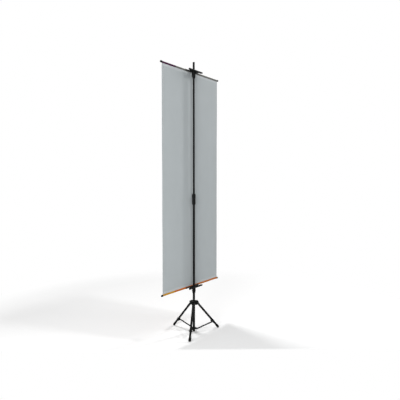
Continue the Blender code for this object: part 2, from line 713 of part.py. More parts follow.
def build_brace():
    """A flat strip up its own Z axis, beside the leg, with an eye at each end."""
    half = BRACE_WIDTH / 2
    outline = arc((0, 0), half, 180, 360, 8) + arc((0, BRACE_LENGTH), half, 0, 180, 8)
    holes = [circle((0, z), PIN_RADIUS + PIN_GAP, SMALL) for z in (0, BRACE_LENGTH)]
    middle = (BRACE_INNER_FACE + BRACE_OUTER_FACE) / 2
    return plate("brace", outline, BRACE_THICKNESS, UPRIGHT_XZ, middle=middle, holes=holes)


def build_hub():
    """The fixed hub at the foot of the column, with a lug for each brace, in place."""
    low = BRACE_PIVOT_HEIGHT - HUB_HEIGHT / 2
    high = BRACE_PIVOT_HEIGHT + HUB_HEIGHT / 2
    bore_radius = LOWER_TUBE_RADIUS + SEAT_GAP
    body = rod("brace_hub", bore_radius + HUB_WALL, low, high)
    centre = (BRACE_PIVOT_RADIUS, BRACE_PIVOT_HEIGHT)
    outline = arc(centre, HUB_LUG_RADIUS, -90, 90, 8)
    outline += [(bore_radius, centre[1] + HUB_LUG_RADIUS), (bore_radius, centre[1] - HUB_LUG_RADIUS)]
    holes = []
    for azimuth in leg_azimuths():
        lug = plate("lug", outline, 2 * SADDLE_HALF, UPRIGHT_XZ)
        body = join(body, around(lug, azimuth))
        hole = pin_hole(BRACE_PIVOT_RADIUS, BRACE_PIVOT_HEIGHT, SADDLE_HALF + CUT_SPARE)
        holes.append(around(hole, azimuth))
    bore = rod("bore", bore_radius, low - CUT_SPARE, high + CUT_SPARE)
    return cut(body, bore, *holes)


def build_tripod():
    """The collar, the hub and three legs with their braces, pins, saddles and feet."""
    collar_axis = axis_empty("tripod_fold_axis", raised(LEG_PIVOT_HEIGHT))
    dress(build_collar(), black_plastic(), collar_axis)
    dress(build_hub(), black_plastic())
    knob_place = Matrix.Rotation(KNOB_AZIMUTH, 4, "Z")
    knob_place = Matrix.Translation((0, 0, LEG_PIVOT_HEIGHT + SCREW_HEIGHT)) @ knob_place
    dress(build_knob(), black_plastic(), axis_empty("collar_knob_axis", knob_place))

    leg_inner = LEG_TUBE_RADIUS - LEG_TUBE_WALL
    leg_low = -LEG_LENGTH + FOOT_FLOOR
    leg_pieces = {
        "leg": (tube("leg", LEG_TUBE_RADIUS, leg_inner, leg_low, -LEG_HEAD_NECK - SEAT_GAP, FINE), black_paint()),
        "leg_head": (build_leg_head(), black_plastic()),
        "foot": (build_foot(), black_rubber()),
        "brace_saddle": (build_saddle(), black_plastic()),
    }
    ear_pin = EAR_OUTER_FACE + SEAT_GAP
    still_pieces = {"collar_pin": (pin("collar_pin", -ear_pin, ear_pin), dark_steel())}
    hub_pin = pin("hub_pin", -SADDLE_HALF - SEAT_GAP, BRACE_OUTER_FACE + SEAT_GAP)
    hub_pieces = {"hub_pin": (hub_pin, dark_steel())}
    rivet = pin("brace_rivet", BRACE_INNER_FACE, BRACE_OUTER_FACE + SEAT_GAP, heads=1)
    rivet.data.transform(Matrix.Translation((0, 0, BRACE_LENGTH)))
    brace_pieces = {"brace": (build_brace(), black_paint()), "brace_rivet": (rivet, dark_steel())}

    groups = (
        ("collar_pin_axis", LEG_PIVOT_RADIUS, LEG_PIVOT_HEIGHT, 0.0, still_pieces),
        ("leg_axis", LEG_PIVOT_RADIUS, LEG_PIVOT_HEIGHT, -LEG_SPREAD, leg_pieces),
        ("hub_pin_axis", BRACE_PIVOT_RADIUS, BRACE_PIVOT_HEIGHT, 0.0, hub_pieces),
        ("brace_axis", BRACE_PIVOT_RADIUS, BRACE_PIVOT_HEIGHT, BRACE_LEAN, brace_pieces),
    )
    for axis_name, radius, height, lean, pieces in groups:
        for piece, material in pieces.values():
            dress(piece, material)
        for number, azimuth in enumerate(leg_azimuths(), start=1):
            place = Matrix.Rotation(azimuth, 4, "Z") @ Matrix.Translation((radius, 0, height))
            place = place @ Matrix.Rotation(lean, 4, "Y")
            axis = axis_empty(f"{axis_name}_{number}", place)
            for name, (piece, _) in pieces.items():
                copy_of(piece, f"{name}_{number}", axis)
        for piece, _ in pieces.values():
            bpy.data.objects.remove(piece, do_unlink=True)


def main():
    """Build the whole stand."""
    clear_scene()
    build_column()
    build_brackets()
    build_banner()
    build_tripod()
    bpy.context.view_layer.update()


main()
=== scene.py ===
"""The looks of a tripod banner stand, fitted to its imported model.

Metres, in the model's own frame: +Z runs up the pole, +X along the banner's width, and the printed
side of the banner faces -Y. The photograph looks at the banner's back, from +X and +Y.
"""
import json
import logging
import math
from collections.abc import Mapping, Sequence
from dataclasses import dataclass
from enum import Enum
from typing import Any

import bmesh
import bpy
from bpy.types import Material, Mesh, Node, NodeSocket, NodeTree, Object
from mathutils import Matrix, Vector


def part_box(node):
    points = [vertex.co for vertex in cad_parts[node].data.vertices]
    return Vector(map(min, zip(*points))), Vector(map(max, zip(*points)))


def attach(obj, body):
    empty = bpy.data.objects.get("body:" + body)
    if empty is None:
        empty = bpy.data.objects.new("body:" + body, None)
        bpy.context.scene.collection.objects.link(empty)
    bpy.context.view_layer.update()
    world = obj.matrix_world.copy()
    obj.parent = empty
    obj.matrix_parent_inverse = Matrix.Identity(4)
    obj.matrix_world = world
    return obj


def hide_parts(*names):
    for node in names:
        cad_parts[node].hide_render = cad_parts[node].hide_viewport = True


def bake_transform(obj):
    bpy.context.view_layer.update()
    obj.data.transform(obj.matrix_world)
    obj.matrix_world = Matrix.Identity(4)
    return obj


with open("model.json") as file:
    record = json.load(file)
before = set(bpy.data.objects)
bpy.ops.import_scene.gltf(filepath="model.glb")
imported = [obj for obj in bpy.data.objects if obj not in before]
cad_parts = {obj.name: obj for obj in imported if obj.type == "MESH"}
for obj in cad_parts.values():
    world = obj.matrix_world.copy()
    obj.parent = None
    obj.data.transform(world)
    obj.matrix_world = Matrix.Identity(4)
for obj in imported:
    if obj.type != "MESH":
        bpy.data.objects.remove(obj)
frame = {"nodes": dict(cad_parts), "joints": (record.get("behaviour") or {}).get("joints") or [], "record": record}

LOG = logging.getLogger("tripod_banner_stand")
Pair = tuple[float, float]
Spot = tuple[float, float]  # radius and height, or X and height
PathPoint = tuple[float, float, float, float]  # Y, Z, the print's height, and 1 on the flap
Colour = tuple[float, ...] | NodeSocket

MM = 0.001
LEGS = (1, 2, 3)
UPRIGHT = Matrix.Identity(4).freeze()
ALONG_ROD = Vector((1, 0, 0))
CLEARANCE = 0.3 * MM  # between two pieces of the model
MERGE = 0.01 * MM  # points nearer than this are one
ALIKE = 0.03 * MM  # spots of a profile nearer than this are one
TURN_STEPS = 96  # facets in a turned piece
CREASE = math.radians(40)  # an edge that bends more than this is shaded sharp
TURNED_CREASE = math.radians(38)  # the same on a turned piece
WAVE_PITCH = math.pi / 10  # from band to band of a wave texture at scale 1
PHOTO_SIZE = 400.0
WHITE = "#FFFFFF"
BLACK_GLOSS = 0.09  # specular level of the blacks, which the white surround would turn grey


def srgb(code: str) -> tuple[float, ...]:
    """Turn an sRGB hex colour to the linear colour that a shader takes.

    Args:
        code: The colour as #RRGGBB.

    Returns:
        Red, green, blue and an alpha of 1.
    """
    values = [int(code[i:i + 2], 16) / 255 for i in (1, 3, 5)]
    linear = [v / 12.92 if v <= 0.04045 else ((v + 0.055) / 1.055) ** 2.4 for v in values]
    return (*linear, 1.0)


def feed(tree: NodeTree, node: Node, inputs: Mapping[str | int, Any]) -> None:
    """Set or link a node's inputs.

    Args:
        tree: The node tree.
        node: The node.
        inputs: A value or another node's output for each input, by name or index.
    """
    for key, value in inputs.items():
        if isinstance(value, NodeSocket):
            tree.links.new(value, node.inputs[key])
        else:
            node.inputs[key].default_value = value


def add_node(
    tree: NodeTree, kind: str, settings: Mapping[str, Any] | None = None,
    inputs: Mapping[str | int, Any] | None = None,
) -> Node:
    """Add a node, set its properties, and set or link its inputs.

    Args:
        tree: The node tree.
        kind: The node's type name.
        settings: Property values by name.
        inputs: A value or another node's output for each input, by name or index.

    Returns:
        The new node.
    """
    node = tree.nodes.new(kind)
    for key, value in (settings or {}).items():
        setattr(node, key, value)
    feed(tree, node, inputs or {})
    return node


def cleared(owner: Material | bpy.types.World) -> NodeTree:
    """Turn on the nodes of a material or the world, and empty its tree.

    Args:
        owner: What has the nodes.

    Returns:
        The empty tree.
    """
    owner.use_nodes = True
    owner.node_tree.nodes.clear()
    return owner.node_tree


@dataclass(frozen=True)
class Brush:
    """A material's tree and shader, with the steps that a finish is painted in."""

    tree: NodeTree
    shader: Node

    def own(self) -> NodeSocket:
        """The point's place in the piece's own frame, as keep_own or the sheet's tree stores it."""
        place = add_node(self.tree, "ShaderNodeAttribute", {"attribute_name": "own"})
        return place.outputs["Vector"]

    def noise(self, size: Sequence[float], detail: float = 2.0) -> NodeSocket:
        """Noise with features of a real size along each axis of the piece.

        Args:
            size: The features' length along X, Y and Z in metres.
            detail: How many finer layers it has.

        Returns:
            A value about 0.5.
        """
        scaled = add_node(
            self.tree, "ShaderNodeMapping",
            inputs={"Vector": self.own(), "Scale": [1 / length for length in size]},
        )
        noise = add_node(
            self.tree, "ShaderNodeTexNoise",
            inputs={"Vector": scaled.outputs["Vector"], "Scale": 1.0, "Detail": detail},
        )
        return noise.outputs["Fac"]

    def spread(
        self, value: NodeSocket, low: float, high: float, start: float = 0.3, end: float = 0.7
    ) -> NodeSocket:
        """Map a value between start and end to the range from low to high."""
        sizes = {"From Min": start, "From Max": end, "To Min": low, "To Max": high}
        return add_node(
            self.tree, "ShaderNodeMapRange", inputs={"Value": value, **sizes}
        ).outputs["Result"]

    def tint(self, share: NodeSocket, below: Colour, above: Colour) -> NodeSocket:
        """Mix two colours by a share from 0 to 1."""
        colours = {"Factor": share, 6: below, 7: above}
        return add_node(self.tree, "ShaderNodeMix", {"data_type": "RGBA"}, colours).outputs[2]

    def set(self, **inputs: Any) -> None:
        """Set or link the shader's inputs, with underscores for spaces in their names."""
        spaced = {key.replace("_", " "): value for key, value in inputs.items()}
        feed(self.tree, self.shader, spaced)

    def relief(self, height: NodeSocket, depth: float, strength: float = 1.0) -> None:
        """Give the shader a bump of a real depth, in metres."""
        sizes = {"Height": height, "Distance": depth, "Strength": strength}
        self.set(Normal=add_node(self.tree, "ShaderNodeBump", inputs=sizes).outputs["Normal"])


@dataclass(frozen=True)
class Finish:
    """A surface, named for what the real material is and how it was made.

    Attributes:
        name: The material's name.
        slot: The record's material slot that it stands for. It is not used.
        colour: Its main colour, as sRGB hex.
        roughness: Its roughness.
    """

    name: str
    slot: str
    colour: str
    roughness: float

    def material(self) -> Material:
        """Build the material on first use.

        Returns:
            The material.
        """
        material = bpy.data.materials.get(self.name)
        if material is None:
            material = bpy.data.materials.new(self.name)
            tree = cleared(material)
            shader = add_node(
                tree, "ShaderNodeBsdfPrincipled",
                inputs={"Base Color": srgb(self.colour), "Roughness": self.roughness},
            )
            add_node(tree, "ShaderNodeOutputMaterial", inputs={"Surface": shader.outputs["BSDF"]})
            self.paint(Brush(tree, shader))
        return material

    def paint(self, brush: Brush) -> None:
        """Add the finish's own pattern to the plain shader."""
        raise NotImplementedError

    def mottle(self, brush: Brush, marks: NodeSocket, other: str, reach: Sequence[float]) -> None:
        """Mix in another colour by the marks.

        Args:
            brush: The material's brush.
            marks: The noise that the colour follows.
            other: The other colour, as sRGB hex.
            reach: Its share at the first and at the last of two marks, and these marks. Without
                marks they are those of spread.
        """
        share = brush.spread(marks, *reach)
        brush.set(Base_Color=brush.tint(share, srgb(self.colour), srgb(other)))

    def vary(self, brush: Brush, marks: NodeSocket, shifts: Pair) -> None:
        """Shift the roughness by the marks, from the first shift to the second."""
        brush.set(Roughness=brush.spread(marks, *(self.roughness + shift for shift in shifts)))


@dataclass(frozen=True)
class PowderCoat(Finish):
    """Powder coat on drawn steel tube: an even satin black with a fine orange peel.

    The peel breaks up highlights, and rubbing by the clamps leaves faint lengthwise streaks.
    """

    peel: float = 1.1 * MM
    peel_depth: float = 0.012 * MM
    streak: tuple[float, float, float] = (1.5 * MM, 1.5 * MM, 60 * MM)
    streak_detail: float = 3.0
    rubbed: str = "#131515"
    rub_reach: tuple[float, ...] = (0.0, 0.55, 0.52, 0.78)
    gloss_shift: Pair = (0.05, -0.06)

    def paint(self, brush: Brush) -> None:
        """Add the peel, the rub marks and their gloss.

        Args:
            brush: The material's brush.
        """
        marks = brush.noise(self.streak, self.streak_detail)
        self.mottle(brush, marks, self.rubbed, self.rub_reach)
        self.vary(brush, marks, self.gloss_shift)
        brush.set(Specular_IOR_Level=BLACK_GLOSS)
        brush.relief(brush.noise([self.peel] * 3), self.peel_depth)


@dataclass(frozen=True)
class MouldedNylon(Finish):
    """Glass-filled nylon from a spark-eroded mould: a fine matt grain, with grey handling bloom."""

    grain: float = 0.45 * MM
    grain_depth: float = 0.03 * MM
    bloom: str = "#101212"
    bloom_size: float = 9 * MM
    bloom_detail: float = 4.0
    bloom_reach: tuple[float, ...] = (0.0, 0.8, 0.45, 0.75)
    gloss_shift: Pair = (-0.05, 0.07)

    def paint(self, brush: Brush) -> None:
        """Add the mould's grain and the bloom.

        Args:
            brush: The material's brush.
        """
        cloud = brush.noise([self.bloom_size] * 3, self.bloom_detail)
        self.mottle(brush, cloud, self.bloom, self.bloom_reach)
        self.vary(brush, cloud, self.gloss_shift)
        brush.set(Specular_IOR_Level=BLACK_GLOSS)
        brush.relief(brush.noise([self.grain] * 3), self.grain_depth)


@dataclass(frozen=True)
class MouldedRubber(Finish):
    """Moulded rubber: deep matt black that shows floor dust low down."""

    dust: str = "#57544E"
    dust_share: float = 0.7
    dust_top: float = 7 * MM
    pit: float = 1.4 * MM
    pit_detail: float = 5.0
    pit_depth: float = 0.03 * MM

    def paint(self, brush: Brush) -> None:
        """Add the dust and a soft pitting.

        Args:
            brush: The material's brush.
        """
        place = add_node(brush.tree, "ShaderNodeSeparateXYZ", inputs={"Vector": brush.own()})
        low = brush.spread(place.outputs["Z"], self.dust_share, 0.0, 0.0, self.dust_top)
        pits = brush.noise([self.pit] * 3, self.pit_detail)
        share = add_node(brush.tree, "ShaderNodeMath", {"operation": "MULTIPLY"}, {0: low, 1: pits})
        brush.set(
            Specular_IOR_Level=BLACK_GLOSS,
            Base_Color=brush.tint(share.outputs[0], srgb(self.colour), srgb(self.dust)),
        )
        brush.relief(pits, self.pit_depth)


@dataclass(frozen=True)
class BlackenedSteel(Finish):
    """Oil-blackened steel, peened over: dark metal with small bright dents."""

    dent: float = 0.8 * MM
    dent_detail: float = 3.0
    dent_depth: float = 0.04 * MM
    bright: str = "#6A6D70"

    def paint(self, brush: Brush) -> None:
        """Add the dents.

        Args:
            brush: The material's brush.
        """
        brush.set(Metallic=1.0)
        dents = brush.noise([self.dent] * 3, self.dent_detail)
        self.mottle(brush, dents, self.bright, (0.0, 1.0))
        brush.relief(dents, self.dent_depth)


@dataclass(frozen=True)
class DrawnAluminium(Finish):
    """Mill-finish aluminium rod: bright, with fine draw lines along its length."""

    line: tuple[float, float, float] = (0.25 * MM, 0.25 * MM, 40 * MM)
    line_depth: float = 0.01 * MM
    gloss_shift: Pair = (-0.08, 0.1)

    def paint(self, brush: Brush) -> None:
        """Add the draw lines.

        Args:
            brush: The material's brush.
        """
        brush.set(Metallic=1.0)
        lines = brush.noise(self.line)
        self.vary(brush, lines, self.gloss_shift)
        brush.relief(lines, self.line_depth)


@dataclass(frozen=True)
class BannerCloth(Finish):
    """Coated polyester cloth: a plain weave under a thin matt coat.

    The threads are half a millimetre apart. They are drawn 1.6 mm apart, or they wouldn't show.
    """

    thread: float = 1.6 * MM
    thread_wander: float = 0.4
    weave_depth: float = 0.05 * MM
    weave_strength: float = 0.5
    cloud: tuple[float, float, float] = (90 * MM, 90 * MM, 160 * MM)
    cloud_share: float = 0.035
    cloud_shade: str = "#808080"
    sheen: float = 0.05
    sheen_roughness: float = 0.6
    gloss: float = 0.18

    def weave(self, brush: Brush) -> NodeSocket:
        """Build the weave on the flat sheet, as two crossing sets of threads.

        Args:
            brush: The material's brush.

        Returns:
            The weave's height, from 0 to 1.
        """
        flat = brush.own()
        scale = WAVE_PITCH / self.thread
        bands = []
        for direction in ("X", "Z"):
            wave = add_node(
                brush.tree, "ShaderNodeTexWave",
                {"wave_type": "BANDS", "bands_direction": direction},
                {"Vector": flat, "Scale": scale, "Distortion": self.thread_wander},
            )
            bands.append(wave.outputs["Fac"])
        higher = add_node(
            brush.tree, "ShaderNodeMath", {"operation": "MAXIMUM"}, {0: bands[0], 1: bands[1]}
        )
        return higher.outputs[0]

    def paint(self, brush: Brush) -> None:
        """Add the weave, and the coat's slight unevenness.

        Args:
            brush: The material's brush.
        """
        base = self.cover(brush)
        cloud = brush.spread(brush.noise(self.cloud), 0.0, self.cloud_share)
        uneven = add_node(
            brush.tree, "ShaderNodeMix", {"data_type": "RGBA", "blend_type": "MULTIPLY"},
            {"Factor": cloud, 6: base, 7: srgb(self.cloud_shade)},
        )
        brush.set(
            Base_Color=uneven.outputs[2], Sheen_Weight=self.sheen,
            Sheen_Roughness=self.sheen_roughness, Specular_IOR_Level=self.gloss,
        )
        brush.relief(self.weave(brush), self.weave_depth, self.weave_strength)

    def cover(self, brush: Brush) -> Colour:
        """The plain colour of this side."""
        return srgb(self.colour)


@dataclass(frozen=True)
class Sweep:
    """A printed area bounded by a large circle on the flat sheet.

    Attributes:
        colour: The print's colour, as sRGB hex.
        centre: The circle's centre as X and height, in metres.
        edge: A point on the circle, where the area's border meets a hem.
    """

    colour: str
    centre: Spot
    edge: Spot


@dataclass(frozen=True)
class PrintedCloth(BannerCloth):
    """The printed side: curved areas of flat colour on a mid-grey ground."""

    sheen: float = 0.0
    gloss: float = 0.1
    turned: str = "#AEB3B5"
    border: float = 0.3 * MM
    sweeps: tuple[Sweep, ...] = ()

    def cover(self, brush: Brush) -> Colour:
        """Print area over area, and leave the turned-in edge unprinted.

        Args:
            brush: The material's brush.

        Returns:
            The colour.
        """
        flat = brush.own()
        colour = srgb(self.colour)
        for sweep in self.sweeps:
            centre = (sweep.centre[0], 0.0, sweep.centre[1])
            distance = add_node(
                brush.tree, "ShaderNodeVectorMath", {"operation": "DISTANCE"}, {0: flat, 1: centre}
            ).outputs["Value"]
            radius = math.dist(sweep.centre, sweep.edge)
            inside = brush.spread(distance, 1.0, 0.0, radius - self.border, radius + self.border)
            colour = brush.tint(inside, colour, srgb(sweep.colour))
        turned = add_node(brush.tree, "ShaderNodeAttribute", {"attribute_name": "turned"})
        return brush.tint(turned.outputs["Fac"], colour, srgb(self.turned))


BANNER_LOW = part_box("banner_bottom_hem")[0].z
BANNER_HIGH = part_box("banner_top_hem")[1].z

POWDER_COAT = PowderCoat("powder_coated_steel", "painted_tube", "#080909", 0.5)
NYLON = MouldedNylon("glass_filled_nylon", "black_nylon", "#080909", 0.6)
NYLON_EDGE = MouldedNylon("glass_filled_nylon_edge", "black_nylon", "#101212", 0.5)
RUBBER = MouldedRubber("moulded_rubber", "rubber_foot", "#0A0A0A", 0.8)
RIVET = BlackenedSteel("blackened_steel", "rivet_steel", "#3C3E41", 0.38)
ALUMINIUM = DrawnAluminium("drawn_aluminium", "rod_aluminium", "#C9CBCC", 0.34)
BACK_CLOTH = BannerCloth("coated_cloth_back", "banner_cloth", "#A2A8AA", 0.72)
PRINTED_CLOTH = PrintedCloth(
    "coated_cloth_print", "banner_cloth", "#63625F", 0.62,
    sweeps=(
        Sweep("#B9BEC0", (0.06, 1.52), (0.34, 1.52)),
        Sweep("#AE7C08", (-0.16, 1.30), (-0.03, 1.30)),
        Sweep("#390B2F", (-0.25, 1.83), (-0.17, 1.83)),
        Sweep("#AC5C0A", (-0.60, -1.60), (-0.40, 0.742)),
        Sweep("#A45C14", (-1.10, 0.20), (-0.02, BANNER_LOW)),
        Sweep("#AE7C08", (1.00, 0.10), (0.25, BANNER_LOW)),
        Sweep("#390B2F", (0.95, 2.75), (0.229, BANNER_HIGH)),
    ),
)
CUT_EDGE = BannerCloth("cloth_cut_edge", "banner_cloth", "#C6C8C8", 0.8)
THREAD = BannerCloth("sewing_thread", "banner_cloth", "#9EA3A5", 0.7)


class Side(Enum):
    """Which way a hem is turned: the sign gives the way from its rod to the sheet."""

    TOP = -1
    BOTTOM = 1


def body_of(node: str) -> str:
    """The name of the body that carries a node of the model."""
    bodies = frame["record"]["behaviour"]["bodies"]
    return next(body for body, nodes in bodies.items() if node in nodes)


def joint_of(body: str) -> Mapping[str, Any]:
    """The joint that a body moves by."""
    return next(joint for joint in frame["joints"] if joint["child"] == body)


def placed(name: str, data: Any) -> Object:
    """Put data in the scene as an object at the origin.

    Args:
        name: The object's name.
        data: Its mesh, lamp or camera.

    Returns:
        The object.
    """
    obj = bpy.data.objects.new(name, data)
    bpy.context.scene.collection.objects.link(obj)
    return obj


def kept(made: bmesh.types.BMesh, name: str) -> Mesh:
    """Turn an edited mesh to a plain one, and free it.

    Args:
        made: The edited mesh.
        name: The plain mesh's name.

    Returns:
        The plain mesh.
    """
    mesh = bpy.data.meshes.new(name)
    made.to_mesh(mesh)
    made.free()
    return mesh


def evaluated(obj: Object) -> Object:
    """Replace an object by one with the plain mesh that its modifiers give.

    Args:
        obj: The object with modifiers, which is removed.

    Returns:
        The new object, at the origin and under the same name.
    """
    bpy.context.view_layer.update()
    graph = bpy.context.evaluated_depsgraph_get()
    mesh = bpy.data.meshes.new_from_object(obj.evaluated_get(graph))
    name = obj.name
    bpy.data.objects.remove(obj, do_unlink=True)
    mesh.name = name
    return placed(name, mesh)


def welded(node: str) -> bmesh.types.BMesh:
    """Copy a node's solid and join its loose triangles.

    Args:
        node: The node's name.

    Returns:
        The copy, which the caller frees.
    """
    solid = bmesh.new()
    solid.from_mesh(frame["nodes"][node].data)
    bmesh.ops.remove_doubles(solid, verts=solid.verts, dist=MERGE)
    return solid


def middle_of(node: str) -> Vector:
    """Average a solid's points.

    Args:
        node: The node's name.

    Returns:
        The mean, which lies on the axis of a turned piece.
    """
    solid = welded(node)
    middle = sum((vertex.co for vertex in solid.verts), Vector()) / len(solid.verts)
    solid.free()
    return middle


def along(base: Vector, axis: Vector) -> Matrix:
    """A frame at a point, with its Z axis along a direction."""
    return Matrix.Translation(base) @ axis.to_track_quat("Z", "Y").to_matrix().to_4x4()


def leg_frame(number: int) -> Matrix:
    """A leg's own frame: its pivot, with Z along the leg towards the floor."""
    pivot = Vector(joint_of(f"leg_{number}")["pos_m"])
    return along(pivot, middle_of(f"leg_{number}") - pivot)


def local_points(node: str, place: Matrix) -> list[Vector]:
    """The points of a node's solid, as a frame sees them."""
    inverse = place.inverted()
    return [inverse @ vertex.co for vertex in frame["nodes"][node].data.vertices]


def keep_own(obj: Object, place: Matrix) -> None:
    """Store where each point lies in the piece's own frame, for its finish to read.

    Args:
        obj: The piece at rest.
        place: The frame. Its Z axis runs the way that the piece was drawn or turned.
    """
    inverse = place.inverted()
    own = obj.data.attributes.new("own", "FLOAT_VECTOR", "POINT")
    own.data.foreach_set("vector", [c for vertex in obj.data.vertices for c in inverse @ vertex.co])


def settle(obj: Object, node: str, place: Matrix = UPRIGHT) -> Object:
    """Let a finished piece stand for a node and ride with its body.

    Args:
        obj: The piece.
        node: The node that it stands for.
        place: Its own frame.

    Returns:
        The piece.
    """
    keep_own(obj, place)
    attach(obj, body_of(node))
    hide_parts(node)
    LOG.info("%s stands for %s", obj.name, node)
    return obj


@dataclass
class GeometryTree:
    """A Geometry Nodes tree with named sizes, ending in real geometry with a material.

    Attributes:
        name: The tree's name.
        sizes: Socket type and value of each input, by its name.
    """

    name: str
    sizes: Mapping[str, tuple[str, Any]]

    def __post_init__(self) -> None:
        """Make the empty tree and its sockets."""
        self.tree = bpy.data.node_groups.new(self.name, "GeometryNodeTree")
        sockets = [("Geometry", "INPUT", "NodeSocketGeometry")]
        sockets += [(name, "INPUT", kind) for name, (kind, _) in self.sizes.items()]
        sockets += [("Geometry", "OUTPUT", "NodeSocketGeometry")]
        for name, way, kind in sockets:
            self.tree.interface.new_socket(name, in_out=way, socket_type=kind)
        self.given = add_node(self.tree, "NodeGroupInput").outputs

    def repeat(self, points: NodeSocket, shape: NodeSocket, **changes: NodeSocket) -> None:
        """Set a shape on every point, and end the tree.

        Args:
            points: The geometry that gives the points.
            shape: The shape.
            changes: What else each copy takes, such as its Rotation and its Scale.
        """
        inputs = {"Points": points, "Instance": shape, **changes}
        copies = add_node(self.tree, "GeometryNodeInstanceOnPoints", inputs=inputs)
        self.close(copies.outputs["Instances"])

    def close(self, shape: NodeSocket) -> None:
        """End the tree: realise the instances, shade them smooth and give them their material.

        Args:
            shape: The geometry.
        """
        for kind in ("GeometryNodeRealizeInstances", "GeometryNodeSetShadeSmooth"):
            shape = add_node(self.tree, kind, inputs={0: shape}).outputs[0]
        dressed = add_node(
            self.tree, "GeometryNodeSetMaterial",
            inputs={0: shape, "Material": self.given["Material"]},
        )
        add_node(self.tree, "NodeGroupOutput", inputs={0: dressed.outputs[0]})

    def grow(self, name: str, mesh: Mesh | None = None, **changes: Any) -> Object:
        """Run the tree once and keep its result as a plain mesh.

        Args:
            name: The new piece's name.
            mesh: The mesh that the tree starts from, if it needs one.
            changes: Values that differ from the tree's own, with underscores for spaces.

        Returns:
            The piece.
        """
        obj = placed(name, mesh or bpy.data.meshes.new(name))
        modifier = obj.modifiers.new(self.name, "NODES")
        modifier.node_group = self.tree
        values = {key: value for key, (_, value) in self.sizes.items()}
        values.update({key.replace("_", " "): value for key, value in changes.items()})
        for item in self.tree.interface.items_tree:
            if item.in_out == "INPUT" and item.name in values:
                modifier[item.identifier] = values[item.name]
        return evaluated(obj)


def rib_ring_tree() -> GeometryTree:
    """Set rounded ribs in a ring about Z, for a grip.

    Returns:
        The tree.
    """
    made = GeometryTree("grip_ribs", {
        "Count": ("NodeSocketInt", 14),
        "Ring Radius": ("NodeSocketFloat", 15 * MM),
        "Rib Radius": ("NodeSocketFloat", 1.5 * MM),
        "Rib Length": ("NodeSocketFloat", 12 * MM),
        "Material": ("NodeSocketMaterial", None),
    })
    tree, given = made.tree, made.given
    ring = add_node(
        tree, "GeometryNodeMeshCircle",
        inputs={"Vertices": given["Count"], "Radius": given["Ring Radius"]},
    )
    ball = add_node(
        tree, "GeometryNodeMeshUVSphere",
        inputs={"Segments": 12, "Rings": 8, "Radius": given["Rib Radius"]},
    )
    spot = add_node(tree, "GeometryNodeInputPosition").outputs[0]
    height = add_node(tree, "ShaderNodeSeparateXYZ", inputs={0: spot}).outputs["Z"]
    half = add_node(tree, "ShaderNodeMath", {"operation": "SIGN"}, {0: height}).outputs[0]
    shift = given["Rib Length"]
    for operation, value in (
        ("SUBTRACT", given["Rib Radius"]), ("SUBTRACT", given["Rib Radius"]),
        ("MULTIPLY", 0.5), ("MULTIPLY", half),
    ):
        shift = add_node(
            tree, "ShaderNodeMath", {"operation": operation}, {0: shift, 1: value}
        ).outputs[0]
    offset = add_node(tree, "ShaderNodeCombineXYZ", inputs={"Z": shift}).outputs[0]
    rib = add_node(
        tree, "GeometryNodeSetPosition", inputs={"Geometry": ball.outputs["Mesh"], "Offset": offset}
    )
    made.repeat(ring.outputs["Mesh"], rib.outputs["Geometry"])
    return made


def bead_stack_tree() -> GeometryTree:
    """Stack rings along Z, for the grip of a foot.

    Returns:
        The tree.
    """
    made = GeometryTree("foot_beads", {
        "Count": ("NodeSocketInt", 3),
        "Pitch": ("NodeSocketFloat", 4 * MM),
        "Ring Radius": ("NodeSocketFloat", 10 * MM),
        "Bead Radius": ("NodeSocketFloat", 0.6 * MM),
        "Material": ("NodeSocketMaterial", None),
    })
    tree, given = made.tree, made.given
    step = add_node(tree, "ShaderNodeCombineXYZ", inputs={"Z": given["Pitch"]}).outputs[0]
    line = add_node(tree, "GeometryNodeMeshLine", inputs={"Count": given["Count"], "Offset": step})
    ring, bead = (
        add_node(
            tree, "GeometryNodeCurvePrimitiveCircle",
            inputs={"Resolution": steps, "Radius": given[radius]},
        ).outputs["Curve"]
        for steps, radius in ((48, "Ring Radius"), (10, "Bead Radius"))
    )
    torus = add_node(tree, "GeometryNodeCurveToMesh", inputs={"Curve": ring, "Profile Curve": bead})
    made.repeat(line.outputs["Mesh"], torus.outputs["Mesh"])
    return made


